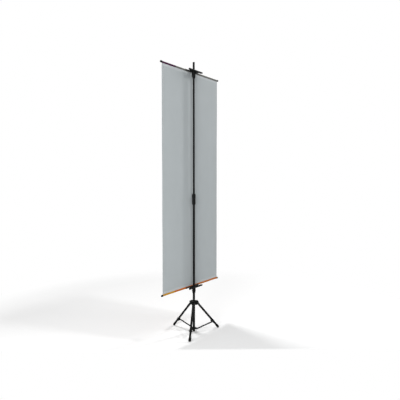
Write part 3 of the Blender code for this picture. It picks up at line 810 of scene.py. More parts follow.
def stitch_tree() -> GeometryTree:
    """Sew a straight row of lockstitches along X, each a little out of line.

    Returns:
        The tree.
    """
    made = GeometryTree("stitch_row", {
        "Count": ("NodeSocketInt", 200),
        "Pitch": ("NodeSocketFloat", 3.6 * MM),
        "Stitch Length": ("NodeSocketFloat", 2.8 * MM),
        "Thread Radius": ("NodeSocketFloat", 0.22 * MM),
        "Wander": ("NodeSocketFloat", 0.05),
        "Seed": ("NodeSocketInt", 7),
        "Material": ("NodeSocketMaterial", None),
    })
    tree, given = made.tree, made.given
    step = add_node(tree, "ShaderNodeCombineXYZ", inputs={"X": given["Pitch"]}).outputs[0]
    line = add_node(tree, "GeometryNodeMeshLine", inputs={"Count": given["Count"], "Offset": step})
    ball = add_node(
        tree, "GeometryNodeMeshUVSphere",
        inputs={"Segments": 6, "Rings": 4, "Radius": given["Thread Radius"]},
    )
    stretch = given["Stitch Length"]
    for operation, value in (("DIVIDE", given["Thread Radius"]), ("MULTIPLY", 0.5)):
        stretch = add_node(
            tree, "ShaderNodeMath", {"operation": operation}, {0: stretch, 1: value}
        ).outputs[0]
    scale = add_node(tree, "ShaderNodeCombineXYZ", inputs={"X": stretch, "Y": 1.0, "Z": 1.0})
    lean = add_node(
        tree, "ShaderNodeMath", {"operation": "MULTIPLY"}, {0: given["Wander"], 1: -1.0}
    )
    turn = add_node(
        tree, "FunctionNodeRandomValue", {"data_type": "FLOAT"},
        {"Min": lean.outputs[0], "Max": given["Wander"], "Seed": given["Seed"]},
    )
    angle = add_node(tree, "ShaderNodeCombineXYZ", inputs={"Y": turn.outputs["Value"]})
    made.repeat(
        line.outputs["Mesh"], ball.outputs["Mesh"],
        Rotation=angle.outputs[0], Scale=scale.outputs[0],
    )
    return made


def sheet_tree() -> GeometryTree:
    """Sweep a path of points along X to a sheet, with a slight ripple away from its hems.

    Returns:
        The tree.
    """
    made = GeometryTree("banner_sheet", {
        "Width": ("NodeSocketFloat", 0.8),
        "Columns": ("NodeSocketInt", 121),
        "Ripple": ("NodeSocketFloat", 4.4 * MM),
        "Low": ("NodeSocketFloat", 0.0),
        "High": ("NodeSocketFloat", 2.0),
        "Calm": ("NodeSocketFloat", 0.35),
        "Material": ("NodeSocketMaterial", None),
    })
    tree, given = made.tree, made.given
    count = add_node(tree, "GeometryNodeAttributeDomainSize", inputs={0: given["Geometry"]})
    rows = count.outputs["Point Count"]
    grid = add_node(
        tree, "GeometryNodeMeshGrid",
        inputs={
            "Size X": given["Width"], "Size Y": 1.0,
            "Vertices X": given["Columns"], "Vertices Y": rows,
        },
    )
    index = add_node(tree, "GeometryNodeInputIndex").outputs[0]
    row = add_node(tree, "ShaderNodeMath", {"operation": "MODULO"}, {0: index, 1: rows}).outputs[0]
    position = add_node(tree, "GeometryNodeInputPosition").outputs[0]
    across = add_node(tree, "ShaderNodeSeparateXYZ", inputs={0: position}).outputs["X"]
    read = {"position": position}
    for name in ("height", "turned"):
        read[name] = add_node(
            tree, "GeometryNodeInputNamedAttribute", {"data_type": "FLOAT"}, {"Name": name}
        ).outputs["Attribute"]
    on_path = {
        name: add_node(
            tree, "GeometryNodeSampleIndex",
            {"data_type": "FLOAT_VECTOR" if name == "position" else "FLOAT", "domain": "POINT"},
            {"Geometry": given["Geometry"], "Value": value, "Index": row},
        ).outputs[0]
        for name, value in read.items()
    }
    place = add_node(tree, "ShaderNodeSeparateXYZ", inputs={0: on_path["position"]}).outputs
    flat = add_node(
        tree, "ShaderNodeCombineXYZ", inputs={"X": across, "Z": on_path["height"]}
    ).outputs[0]
    offset = sheet_ripple(made, flat, on_path["height"])
    depth = add_node(
        tree, "ShaderNodeMath", {"operation": "ADD"}, {0: place["Y"], 1: offset}
    ).outputs[0]
    spot = add_node(tree, "ShaderNodeCombineXYZ", inputs={"X": across, "Y": depth, "Z": place["Z"]})
    shape = grid.outputs["Mesh"]
    for name, kind, value in (
        ("own", "FLOAT_VECTOR", flat), ("turned", "FLOAT", on_path["turned"]),
    ):
        shape = add_node(
            tree, "GeometryNodeStoreNamedAttribute", {"data_type": kind, "domain": "POINT"},
            {"Geometry": shape, "Name": name, "Value": value},
        ).outputs[0]
    moved = add_node(
        tree, "GeometryNodeSetPosition", inputs={"Geometry": shape, "Position": spot.outputs[0]}
    )
    made.close(moved.outputs[0])
    return made


def sheet_ripple(made: GeometryTree, flat: NodeSocket, height: NodeSocket) -> NodeSocket:
    """Bend the sheet out of its plane in faint folds that run slanting between the brackets.

    Args:
        made: The tree that it is added to.
        flat: The position on the flat sheet.
        height: The height on it.

    Returns:
        The offset along Y, in metres.
    """
    tree, given = made.tree, made.given
    slant = 0.55  # of the folds, in radians
    folds_per_metre = (4.2, 1.0, 0.9)
    hem = 0.03  # of cloth next to an edge that stays flat
    leaning = add_node(
        tree, "ShaderNodeVectorRotate", {"rotation_type": "Y_AXIS"},
        {"Vector": flat, "Angle": slant},
    )
    slanted = add_node(
        tree, "ShaderNodeVectorMath", {"operation": "MULTIPLY"},
        {0: leaning.outputs[0], 1: folds_per_metre},
    )
    offset = add_node(
        tree, "ShaderNodeTexNoise",
        inputs={"Vector": slanted.outputs[0], "Scale": 1.0, "Detail": 1.0},
    ).outputs[0]
    steps = [("SUBTRACT", 0.5), ("MULTIPLY", given["Ripple"])]
    for start, sign in ((given["Low"], 1.0), (given["High"], -1.0)):
        away = height
        for operation, value in (("SUBTRACT", start), ("MULTIPLY", sign)):
            away = add_node(
                tree, "ShaderNodeMath", {"operation": operation}, {0: away, 1: value}
            ).outputs[0]
        calm = add_node(
            tree, "ShaderNodeMapRange", {"interpolation_type": "SMOOTHSTEP"},
            {"Value": away, "From Min": hem, "From Max": given["Calm"]},
        )
        steps.append(("MULTIPLY", calm.outputs[0]))
    for operation, value in steps:
        offset = add_node(
            tree, "ShaderNodeMath", {"operation": operation}, {0: offset, 1: value}
        ).outputs[0]
    return offset


@dataclass
class EasedPiece:
    """A moulded, pressed or turned piece, copied from its solid and given its small edge radius.

    Attributes:
        node: The model's node.
        finish: Its surface.
        edge: The surface of its eased edges.
        radius: The edge radius, in metres.
        place: Its own frame.
        sharpest: The angle from which an edge is eased.
        shaded: The angle from which an edge is shaded sharp.
        flat: The angle under which two faces are one.
        steps: The steps across an eased edge.
    """

    node: str
    finish: Finish
    edge: Finish
    radius: float = 0.45 * MM
    place: Matrix = UPRIGHT
    sharpest: float = math.radians(32)
    shaded: float = CREASE
    flat: float = math.radians(0.4)
    steps: int = 2

    def build(self) -> Object:
        """Copy the solid, ease its edges and let the copy stand for it.

        Returns:
            The piece.
        """
        solid = welded(self.node)
        bmesh.ops.dissolve_limit(
            solid, angle_limit=self.flat, verts=solid.verts, edges=solid.edges
        )
        obj = placed(self.node + "_eased", kept(solid, self.node))
        obj.data.materials.append(self.finish.material())
        obj.data.materials.append(self.edge.material())
        bevel = obj.modifiers.new("ease", "BEVEL")
        bevel.width, bevel.segments, bevel.material = self.radius, self.steps, 1
        bevel.limit_method, bevel.angle_limit = "ANGLE", self.sharpest
        piece = evaluated(obj)
        piece.data.shade_smooth()
        piece.data.set_sharp_from_angle(angle=self.shaded)
        return settle(piece, self.node, self.place)


def lathe(name: str, profile: Sequence[Spot]) -> Mesh:
    """Turn a closed profile about Z.

    Args:
        name: The mesh's name.
        profile: Points as radius and height. The last joins the first, unless both lie on the axis.

    Returns:
        A closed mesh with its faces outwards.
    """
    made = bmesh.new()
    points = [made.verts.new((radius, 0, height)) for radius, height in profile]
    pairs = list(zip(points, points[1:]))
    if profile[0][0] > 0:
        pairs.append((points[-1], points[0]))
    edges = [made.edges.new(pair) for pair in pairs]
    bmesh.ops.spin(
        made, geom=points + edges, cent=(0, 0, 0), axis=(0, 0, 1), angle=2 * math.pi,
        steps=TURN_STEPS,
    )
    bmesh.ops.remove_doubles(made, verts=made.verts, dist=MERGE / 10)
    bmesh.ops.recalc_face_normals(made, faces=made.faces)
    # Spin gives its faces in another order each run, so they are sorted by their lowest corner.
    made.verts.index_update()
    faces = []
    for face in made.faces:
        corners = [vertex.index for vertex in face.verts]
        first = corners.index(min(corners))
        faces.append(corners[first:] + corners[:first])
    mesh = bpy.data.meshes.new(name)
    mesh.from_pydata([vertex.co for vertex in made.verts], [], sorted(faces))
    made.free()
    return mesh


def rounded(centre: Spot, radius: float, start: float, turn: float, steps: int = 5) -> list[Spot]:
    """Follow an arc.

    Args:
        centre: The arc's centre, as radius and height.
        radius: The arc's radius.
        start: The first point's angle in degrees, from outwards to upwards.
        turn: The arc's angle in degrees.
        steps: How many steps it has.

    Returns:
        The points, both ends included.
    """
    angles = [math.radians(start + turn * i / steps) for i in range(steps + 1)]
    return [(centre[0] + radius * math.cos(a), centre[1] + radius * math.sin(a)) for a in angles]


def joined(name: str, meshes: Sequence[Mesh], place: Matrix = UPRIGHT) -> Object:
    """Join meshes in one smooth object and put its place in its mesh.

    Args:
        name: The object's name.
        meshes: The meshes, each with its materials.
        place: Where they go together.

    Returns:
        The object.
    """
    made = bmesh.new()
    materials: list[Material] = []
    for mesh in meshes:
        first = len(made.faces)
        made.from_mesh(mesh)
        made.faces.ensure_lookup_table()
        for face in made.faces[first:]:
            material = mesh.materials[face.material_index]
            if material not in materials:
                materials.append(material)
            face.material_index = materials.index(material)
            face.smooth = True
    result = kept(made, name)
    result.transform(place)
    for material in materials:
        result.materials.append(material)
    result.set_sharp_from_angle(angle=TURNED_CREASE)
    return placed(name, result)


def softened(profile: Sequence[Spot], radius: float) -> list[Spot]:
    """Round a profile's corners, with a point past each so that long sides stay flat in the light.

    Args:
        profile: Points as radius and height, as lathe takes them.
        radius: How far from a corner its rounding starts, at most.

    Returns:
        The rounded profile.
    """
    straight = math.radians(20)  # a bend under this is no corner
    share = 0.4  # of a side is the most that a rounding takes
    long = 4  # roundings: a longer side gets a point past its corner
    guard = 1.6  # roundings from the corner to that point
    ring = profile[0][0] > 0
    spots = [Vector(spot) for spot in profile]
    result: list[Spot] = []
    for i, here in enumerate(spots):
        back, on = spots[i - 1] - here, spots[(i + 1) % len(spots)] - here
        end = not ring and i in (0, len(spots) - 1)
        if end or back.angle(-on) < straight:
            result.append(tuple(here))
            continue
        start = min(radius, share * back.length, share * on.length)
        first, last = here + back.normalized() * start, here + on.normalized() * start
        if back.length > long * start:
            result.append(tuple(here + back.normalized() * start * guard))
        for t in (0, 0.25, 0.5, 0.75, 1):
            result.append(tuple(first * (1 - t) ** 2 + here * 2 * t * (1 - t) + last * t ** 2))
        if on.length > long * start:
            result.append(tuple(here + on.normalized() * start * guard))
    return result


@dataclass
class TurnedPiece:
    """A drawn or turned round piece: its profile is read from its solid and turned in fine steps.

    Attributes:
        node: The model's node.
        finish: Its surface.
        place: Its own frame, with its axis along Z.
        soft: How far its corners are rounded.
        grooves: Heights of shallow grooves rolled in its outer side.
        groove: A groove's depth and width.
        groove_steps: The steps across a groove.
        groove_guard: The flat steps on each side of it.
    """

    node: str
    finish: Finish
    place: Matrix = UPRIGHT
    soft: float = 0.5 * MM
    grooves: tuple[float, ...] = ()
    groove: Pair = (0.4 * MM, 2.4 * MM)
    groove_steps: int = 8
    groove_guard: int = 2

    def build(self) -> Object:
        """Turn the softened profile and let the piece stand for its node.

        Returns:
            The piece.
        """
        mesh = lathe(self.node, self.grooved(softened(self.outline(), self.soft)))
        mesh.materials.append(self.finish.material())
        piece = joined(self.node + "_turned", [mesh], self.place)
        return settle(piece, self.node, self.place)

    def outline(self) -> list[Spot]:
        """Follow the solid's edges in the half-planes through its axis.

        Returns:
            The solid's profile as radius and height, as lathe takes it.
        """
        ring_edge = 0.01  # radians between its ends, from which an edge runs round the axis
        solid = welded(self.node)
        inverse = self.place.inverted()
        points: list[Spot] = []
        links: dict[int, set[int]] = {}
        for edge in solid.edges:
            ends = [inverse @ vertex.co for vertex in edge.verts]
            flat = [end.to_2d() for end in ends]
            if min(end.length for end in flat) > MERGE and flat[0].angle(flat[1]) > ring_edge:
                continue
            a, b = (self.index_of(points, (f.length, end.z)) for f, end in zip(flat, ends))
            if a != b:
                links.setdefault(a, set()).add(b)
                links.setdefault(b, set()).add(a)
        solid.free()
        self.span_flats(points, links)
        ends = [i for i, near in links.items() if len(near) == 1]
        order = [ends[0] if ends else 0]
        while onward := [i for i in links[order[-1]] if i not in order]:
            order.append(onward[0])
        if len(order) != len(points):
            raise ValueError(f"{self.node} isn't a turned piece")
        profile = [points[i] for i in order]
        if ends and profile[0][0] > 0:
            profile.insert(0, (0.0, profile[0][1]))
        if ends and profile[-1][0] > 0:
            profile.append((0.0, profile[-1][1]))
        return profile

    def index_of(self, points: list[Spot], spot: Spot) -> int:
        """Find a spot in the list of profile points, which it joins if it is new.

        Args:
            points: The list.
            spot: The spot, as radius and height.

        Returns:
            Its place in the list.
        """
        for i, point in enumerate(points):
            if math.dist(point, spot) < ALIKE:
                return i
        points.append((0.0 if spot[0] < MERGE else spot[0], spot[1]))
        return len(points) - 1

    def span_flats(self, points: Sequence[Spot], links: dict[int, set[int]]) -> None:
        """Link two loose ends that lie at one height, across a flat face without an edge there.

        Args:
            points: The profile's points.
            links: The neighbours of each point.
        """
        loose = [i for i, near in links.items() if len(near) == 1 and points[i][0] > 0]
        for i in loose:
            for j in loose:
                if i < j and abs(points[i][1] - points[j][1]) < ALIKE:
                    links[i].add(j)
                    links[j].add(i)

    def grooved(self, profile: Sequence[Spot]) -> list[Spot]:
        """Press the grooves in the profile's outer side.

        Args:
            profile: The profile.

        Returns:
            The profile with its grooves.
        """
        outer = max(radius for radius, _ in profile)
        depth, width = self.groove
        result: list[Spot] = []
        for i, spot in enumerate(profile):
            result.append(spot)
            after = profile[(i + 1) % len(profile)]
            if min(spot[0], after[0]) < outer - MERGE:
                continue
            low, high = sorted((spot[1], after[1]))
            way = 1 if after[1] > spot[1] else -1
            for middle in sorted(self.grooves, reverse=way < 0):
                if not low + width < middle < high - width:
                    continue
                for step in range(-self.groove_guard, self.groove_steps + self.groove_guard + 1):
                    phase = step / self.groove_steps
                    press = depth * math.sin(math.pi * phase) ** 2 if 0 < phase < 1 else 0.0
                    result.append((outer - press, middle + way * (phase - 0.5) * width))
        return result


@dataclass
class Fittings:
    """The mouldings, rivets and plugs.

    Attributes:
        mouldings: The moulded pieces that the stand has once.
        leg_mouldings: Those that each leg has.
        plugs: The rubber plugs of the tubes.
        pins: The pins of each leg, with the body by whose hinge each is turned.
        rounding: How far the corners of a plug and of the clamp body are rounded.
        cap_rounding: How far those of a rod cap are.
        pin_rounding: How far those of a pin are.
        body_groove: From the clamp body's lower end to its groove.
    """

    mouldings: tuple[str, ...] = (
        "top_bracket", "bottom_bracket", "leg_collar", "brace_hub", "collar_knob",
    )
    leg_mouldings: tuple[str, ...] = ("leg_head", "brace_saddle")
    plugs: tuple[str, ...] = ("column_plug", "pole_cap")
    pins: tuple[tuple[str, str], ...] = (
        ("collar_pin", "leg"), ("hub_pin", "brace"), ("brace_rivet", "brace"),
    )
    rounding: float = 0.8 * MM
    cap_rounding: float = 0.7 * MM
    pin_rounding: float = 0.6 * MM
    body_groove: float = 12 * MM

    def build(self) -> None:
        """Ease or turn every fitting."""
        names = list(self.mouldings) + [f"{name}_{i}" for name in self.leg_mouldings for i in LEGS]
        for name in names:
            EasedPiece(name, NYLON, NYLON_EDGE).build()
        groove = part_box("mid_clamp_body")[0].z + self.body_groove
        TurnedPiece("mid_clamp_body", NYLON, soft=self.rounding, grooves=(groove,)).build()
        for name in self.plugs:
            TurnedPiece(name, RUBBER, soft=self.rounding).build()
        ends = [(level, side) for level in ("top", "bottom") for side in ("left", "right")]
        for level, side in ends:
            name = f"rod_cap_{level}_{side}"
            TurnedPiece(name, NYLON, along(middle_of(name), ALONG_ROD), self.cap_rounding).build()
        for i in LEGS:
            for name, body in self.pins:
                axis = Vector(joint_of(f"{body}_{i}")["axis"])
                place = along(middle_of(f"{name}_{i}"), axis)
                TurnedPiece(f"{name}_{i}", RIVET, place, self.pin_rounding).build()


@dataclass
class Tubes:
    """The tubes, rods and flat strips.

    Attributes:
        crimp: How far from a tube's end its groove is rolled.
        strip_edge: The edge radius of a strip.
    """

    crimp: float = 9 * MM
    strip_edge: float = 0.4 * MM

    def build(self) -> None:
        """Draw each tube and rod along its axis, and ease the strips."""
        clamp_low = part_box("mid_clamp_body")[0].z
        TurnedPiece("lower_pole", POWDER_COAT, grooves=(clamp_low - self.crimp,)).build()
        low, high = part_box("upper_pole")
        TurnedPiece(
            "upper_pole", POWDER_COAT, grooves=(low.z + self.crimp, high.z - self.crimp)
        ).build()
        for name in ("top_rod", "bottom_rod"):
            TurnedPiece(name, ALUMINIUM, along(middle_of(name), ALONG_ROD)).build()
        for i in LEGS:
            place = leg_frame(i)
            top = min(point.z for point in local_points(f"leg_{i}", place))
            TurnedPiece(f"leg_{i}", POWDER_COAT, place, grooves=(top + self.crimp,)).build()
            hinge = Vector(joint_of(f"brace_{i}")["pos_m"])
            strip = along(hinge, middle_of(f"brace_{i}") - hinge)
            EasedPiece(f"brace_{i}", POWDER_COAT, POWDER_COAT, self.strip_edge, strip).build()


@dataclass
class LockNut:
    """A lock nut: a turned body with rounded ribs round its grip.

    Attributes:
        node: The nut's node.
        upwards: Whether it tapers upwards.
        tube: The radius of the tube that it grips.
        ribs: How many ribs it has.
        rib_height: How far they stand proud.
        rib_radius: Their radius.
        nose_wall: The wall at its narrow end.
        mouth_wall: The wall at its wide end.
        shoulder: From the ribs' far end to where it tapers.
        rounding: The radius of its wide corner.
    """

    node: str
    upwards: bool
    tube: float
    ribs: int = 14
    rib_height: float = 1.0 * MM
    rib_radius: float = 1.55 * MM
    nose_wall: float = 1.7 * MM
    mouth_wall: float = 3.0 * MM
    shoulder: float = 1.5 * MM
    rounding: float = 0.8 * MM

    def build(self, tree: GeometryTree) -> Object:
        """Turn the body, set its ribs and let it stand for its node.

        Args:
            tree: The tree that makes the ribs.

        Returns:
            The nut.
        """
        low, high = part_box(self.node)
        outer, length = (high.x - low.x) / 2, high.z - low.z
        grip = self.grip()
        core = outer - self.rib_height
        bore, nose = self.tube + CLEARANCE, self.tube + self.nose_wall
        mouth = core - self.mouth_wall
        soft = self.rounding
        shoulder = -grip - self.shoulder
        profile = [(mouth, 0.0)]
        profile += rounded((core - soft, -soft), soft, 90, -90)
        profile += [(core, shoulder + soft), (core - 0.15 * soft, shoulder - 0.3 * soft)]
        profile += rounded((nose - soft / 2, -length + soft / 2), soft / 2, 0, -90)
        profile += [(bore, -length), (bore, -length + 2 * soft), (mouth, -grip)]
        body = lathe(self.node, profile)
        body.materials.append(NYLON.material())
        ring = tree.grow(
            self.node + "_ribs", Count=self.ribs, Ring_Radius=outer - self.rib_radius,
            Rib_Radius=self.rib_radius, Rib_Length=grip - self.rib_height,
            Material=NYLON_EDGE.material(),
        )
        ring.data.transform(Matrix.Translation((0, 0, -(grip + self.rib_height) / 2)))
        place = Matrix.Translation((0, 0, high.z))
        if self.upwards:
            place = Matrix.Translation((0, 0, low.z)) @ Matrix.Rotation(math.pi, 4, "X")
        nut = joined(self.node + "_turned", [body, ring.data], place)
        bpy.data.objects.remove(ring, do_unlink=True)
        return settle(nut, self.node)

    def grip(self) -> float:
        """Measure the nut's grip.

        Returns:
            The length from the nut's mouth to the far end of its ribs.
        """
        proud = 0.1 * MM  # under the widest radius is still a rib
        low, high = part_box(self.node)
        spots = [(point.to_2d().length, point.z) for point in local_points(self.node, UPRIGHT)]
        outer = max(radius for radius, _ in spots)
        ribbed = [height for radius, height in spots if radius > outer - proud]
        return max(ribbed) - low.z if self.upwards else high.z - min(ribbed)


@dataclass
class Foot:
    """A rubber foot: a cup on the end of a leg, with grip beads and a round end on the floor.

    Attributes:
        number: The leg's number.
        beads: How many beads it has.
        bead_pitch: From bead to bead.
        bead_radius: A bead's radius.
        bead_sunk: How deep its middle lies in the cup's side, in bead radii.
        first_bead: From the round end to the lowest bead.
        wall: The cup's wall.
        floor: How far above the round end the cup is closed.
        rounding: The radius of its rim.
        taper: How much narrower it is half way down.
        dome_steps: The steps of its round end.
    """

    number: int
    beads: int = 3
    bead_pitch: float = 4.2 * MM
    bead_radius: float = 0.7 * MM
    bead_sunk: float = 0.75
    first_bead: float = 3.5 * MM
    wall: float = 1.4 * MM
    floor: float = 4 * MM
    rounding: float = 0.6 * MM
    taper: float = 0.1 * MM
    dome_steps: int = 14

    def build(self, tree: GeometryTree) -> Object:
        """Turn the cup along the leg's axis, add its beads and let it stand for its node.

        Args:
            tree: The tree that makes the beads.

        Returns:
            The foot.
        """
        node = f"foot_{self.number}"
        place = leg_frame(self.number)
        points = local_points(node, place)
        start = min(point.z for point in points)
        outer = max(point.to_2d().length for point in points)
        length = max(point.z for point in points) - start
        dome = length - outer
        inner, soft = outer - self.wall, self.rounding
        profile = [(0.0, -dome + self.floor), (inner, -dome + self.floor), (inner, 0.0)]
        profile += rounded((outer - soft, -soft), soft, 90, -90)
        profile += [(outer - self.taper, -dome * 0.5)]
        profile += rounded((0.0, -dome), outer, 0, -90, self.dome_steps)[:-1]
        profile += [(0.0, -length)]
        cup = lathe("foot", profile)
        cup.materials.append(RUBBER.material())
        beads = tree.grow(
            node + "_beads", Count=self.beads, Pitch=self.bead_pitch,
            Ring_Radius=outer - self.bead_sunk * self.bead_radius, Bead_Radius=self.bead_radius,
            Material=RUBBER.material(),
        )
        beads.data.transform(Matrix.Translation((0, 0, -dome + self.first_bead)))
        upside_down = Matrix.Translation((0, 0, start)) @ Matrix.Rotation(math.pi, 4, "X")
        foot = joined(node + "_moulded", [cup, beads.data], place @ upside_down)
        bpy.data.objects.remove(beads, do_unlink=True)
        return settle(foot, node)


@dataclass
class Banner:
    """The printed sheet, in three lengths.

    Attributes:
        thickness: The cloth's thickness.
        row: The spacing of its rows of points, away from the pockets.
        pocket_gap: From the rod to the middle of the cloth round it.
        pocket_steps: The steps round a pocket.
        tip: From the rod's axis to where the pocket closes.
        flap: The length of the turned-in edge past it.
        flap_steps: The steps along it.
        flap_depth: From the sheet to the flap, in thicknesses.
        held: How far past the flap the cloth stays as its rod holds it.
        stitch_rows: The rows' distances from the tip.
        stitch_faces: The rows' depths behind the sheet, in thicknesses: its front, the flap's back.
        stitch_pitch: From stitch to stitch.
        stitch_margin: From a row's end to the banner's edge.
    """

    thickness: float = 0.45 * MM
    row: float = 12 * MM
    pocket_gap: float = 0.25 * MM
    pocket_steps: int = 28
    tip: float = 10.5 * MM
    flap: float = 19 * MM
    flap_steps: int = 6
    flap_depth: float = 1.15
    held: float = 3 * MM
    stitch_rows: tuple[float, ...] = (6 * MM, 14 * MM)
    stitch_faces: Pair = (-0.5, 1.65)
    stitch_pitch: float = 3.6 * MM
    stitch_margin: float = 4 * MM

    def __post_init__(self) -> None:
        """Read the banner's places from the model."""
        self.rods = {
            Side.TOP: sum(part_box("top_rod"), Vector()) / 2,
            Side.BOTTOM: sum(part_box("bottom_rod"), Vector()) / 2,
        }
        self.hems = {Side.TOP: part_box("banner_top_hem"), Side.BOTTOM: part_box("banner_bottom_hem")}
        low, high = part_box("top_rod")
        self.pocket = (high.z - low.z) / 2 + CLEARANCE + self.pocket_gap
        self.width = self.hems[Side.TOP][1].x - self.hems[Side.TOP][0].x

    def pocket_path(self, side: Side) -> list[PathPoint]:
        """Follow the turned hem from the end of its flap round the rod to where it closes.

        Args:
            side: Which hem it is.

        Returns:
            Points as Y, Z, the height that the print is read at, and whether it is the flap.
        """
        rod = self.rods[side]
        behind = rod.y + self.thickness * self.flap_depth
        lean = math.asin(self.pocket / self.tip)
        edge = self.hems[side][0].z if side is Side.BOTTOM else self.hems[side][1].z
        path = [
            (behind, self.tip + self.flap * (1 - i / self.flap_steps), 1.0)
            for i in range(self.flap_steps)
        ]
        # The flap and its bare side end at the tip, where the cloth starts round the rod.
        path += [(behind, self.tip + 0.5 * MM, 1.0), (behind + 0.05 * MM, self.tip - 0.3 * MM, 0.0)]
        for i in range(self.pocket_steps + 1):
            angle = lean + (-math.pi - 2 * lean) * i / self.pocket_steps
            path.append((rod.y + self.pocket * math.cos(angle), self.pocket * math.sin(angle), 0.0))
        path.append((rod.y, self.tip + 1.0 * MM, 0.0))
        return [(y, rod.z + side.value * up, edge, turned) for y, up, turned in path]

    def straight_path(self, low: float, high: float) -> list[PathPoint]:
        """Follow the flat sheet upwards.

        Args:
            low: The first point's height.
            high: The last point's height.

        Returns:
            Points as pocket_path gives them.
        """
        count = max(2, round((high - low) / self.row))
        heights = [low + (high - low) * i / count for i in range(count + 1)]
        return [(self.rods[Side.TOP].y, z, z, 0.0) for z in heights]

    def path_mesh(self, name: str, path: Sequence[PathPoint]) -> Mesh:
        """Make a mesh of a path's points and edges that carries its print heights.

        Args:
            name: The mesh's name.
            path: The path.

        Returns:
            The mesh.
        """
        mesh = bpy.data.meshes.new(name)
        points = [(0.0, y, z) for y, z, _, _ in path]
        mesh.from_pydata(points, [(i, i + 1) for i in range(len(points) - 1)], [])
        for key, column in (("height", 2), ("turned", 3)):
            attribute = mesh.attributes.new(key, "FLOAT", "POINT")
            attribute.data.foreach_set("value", [point[column] for point in path])
        return mesh

    def section(
        self, tree: GeometryTree, name: str, path: Sequence[PathPoint]
    ) -> tuple[Object, float]:
        """Sweep a path to a sheet with a front, a back and a cut edge.

        Args:
            tree: The tree that sweeps it.
            name: The sheet's name.
            path: The path.

        Returns:
            The sheet, and the length of cloth in it.
        """
        obj = tree.grow(
            name, self.path_mesh(name, path), Width=self.width, Low=self.hems[Side.BOTTOM][0].z,
            High=self.hems[Side.TOP][1].z, Material=PRINTED_CLOTH.material(),
        )
        for finish in (BACK_CLOTH, CUT_EDGE):
            obj.data.materials.append(finish.material())
        solid = obj.modifiers.new("cloth", "SOLIDIFY")
        solid.thickness, solid.offset = self.thickness, 0.0
        solid.material_offset, solid.material_offset_rim = 1, 2
        sheet = evaluated(obj)
        sheet.data.set_sharp_from_angle(angle=CREASE)
        return sheet, sum(math.dist(a[:2], b[:2]) for a, b in zip(path, path[1:]))

    def stitches(self, tree: GeometryTree, side: Side) -> Object:
        """Sew the rows of stitches that close a pocket, seen on both faces of the sheet.

        Args:
            tree: The tree that makes a row.
            side: Which hem it is.

        Returns:
            The stitches.
        """
        rod = self.rods[side]
        count = int((self.width - 2 * self.stitch_margin) / self.stitch_pitch)
        left = -(count - 1) * self.stitch_pitch / 2
        rows = []
        for up in self.stitch_rows:
            for face in self.stitch_faces:
                row = tree.grow(
                    f"stitches_{len(rows)}", Count=count, Pitch=self.stitch_pitch, Seed=len(rows),
                    Material=THREAD.material(),
                )
                height = rod.z + side.value * (self.tip + up)
                row.data.transform(
                    Matrix.Translation((left, rod.y + face * self.thickness, height))
                )
                rows.append(row)
        name = f"{side.name.lower()}_hem_stitches"
        piece = joined(name, [row.data for row in rows])
        for row in rows:
            bpy.data.objects.remove(row, do_unlink=True)
        keep_own(piece, UPRIGHT)
        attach(piece, "top_bracket" if side is Side.TOP else "bottom_bracket")
        LOG.info("%s has %d stitches a row", name, count)
        return piece

    def build(self, sheets: GeometryTree, seams: GeometryTree) -> None:
        """Make the sheet's three lengths, which meet without a gap.

        Args:
            sheets: The tree that sweeps a sheet.
            seams: The tree that makes a row of stitches.
        """
        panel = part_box("banner_panel")
        panel_low = (panel[0].z + self.hems[Side.BOTTOM][1].z) / 2
        panel_high = (panel[1].z + self.hems[Side.TOP][0].z) / 2
        down, up = self.pocket_path(Side.BOTTOM), self.pocket_path(Side.TOP)
        low_path = down + self.straight_path(down[-1][1] + self.row / 2, panel_low)
        high_path = self.straight_path(panel_high, up[-1][1] - self.row / 2) + list(reversed(up))
        panel_path = self.straight_path(panel_low, panel_high)
        closed = self.tip + self.flap + self.held
        parts = (
            ("bottom_hem_sheet", low_path, "banner_bottom_hem", "base_column", "bottom_bracket",
             panel_low, self.rods[Side.BOTTOM].z + closed, ["bottom_rod"], Side.BOTTOM),
            ("banner_sheet", panel_path, "banner_panel", "base_column", "upper_pole",
             panel_low, panel_high, ["top_hem_sheet"], None),
            ("top_hem_sheet", high_path, "banner_top_hem", "upper_pole", "top_bracket",
             panel_high, self.rods[Side.TOP].z - closed, ["top_rod"], Side.TOP),
        )
        for name, path, node, fixed, moving, start, end, held, side in parts:
            sheet, length = self.section(sheets, name, path)
            seam = [self.stitches(seams, side)] if side else []
            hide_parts(node)
            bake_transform(sheet)
            LOG.info("%s is %.3f by %.3f m of cloth", name, self.width, length)


@dataclass
class Lamp:
    """A soft box, placed by the way from the object to it.

    Attributes:
        name: The lamp's name.
        azimuth: Where it stands, in degrees about Z: 0 on the -Y side, 90 on the +X side.
        elevation: Its height above the horizon, in degrees.
        distance: How far it is from what it lights.
        size: Its width and height, in metres.
        power: Its power in watts.
    """

    name: str
    azimuth: float
    elevation: float
    distance: float
    size: Pair
    power: float

    def build(self, target: Vector) -> None:
        """Place the lamp and aim it at the target.

        Args:
            target: What it lights.
        """
        light = bpy.data.lights.new(self.name, "AREA")
        light.shape, light.energy = "RECTANGLE", self.power
        light.size, light.size_y = self.size
        lamp = placed(self.name, light)
        a, e = math.radians(self.azimuth), math.radians(self.elevation)
        back = Vector((math.sin(a) * math.cos(e), -math.cos(a) * math.cos(e), math.sin(e)))
        lamp.location = target + back * self.distance
        lamp.rotation_euler = back.to_track_quat("Z", "Y").to_euler()


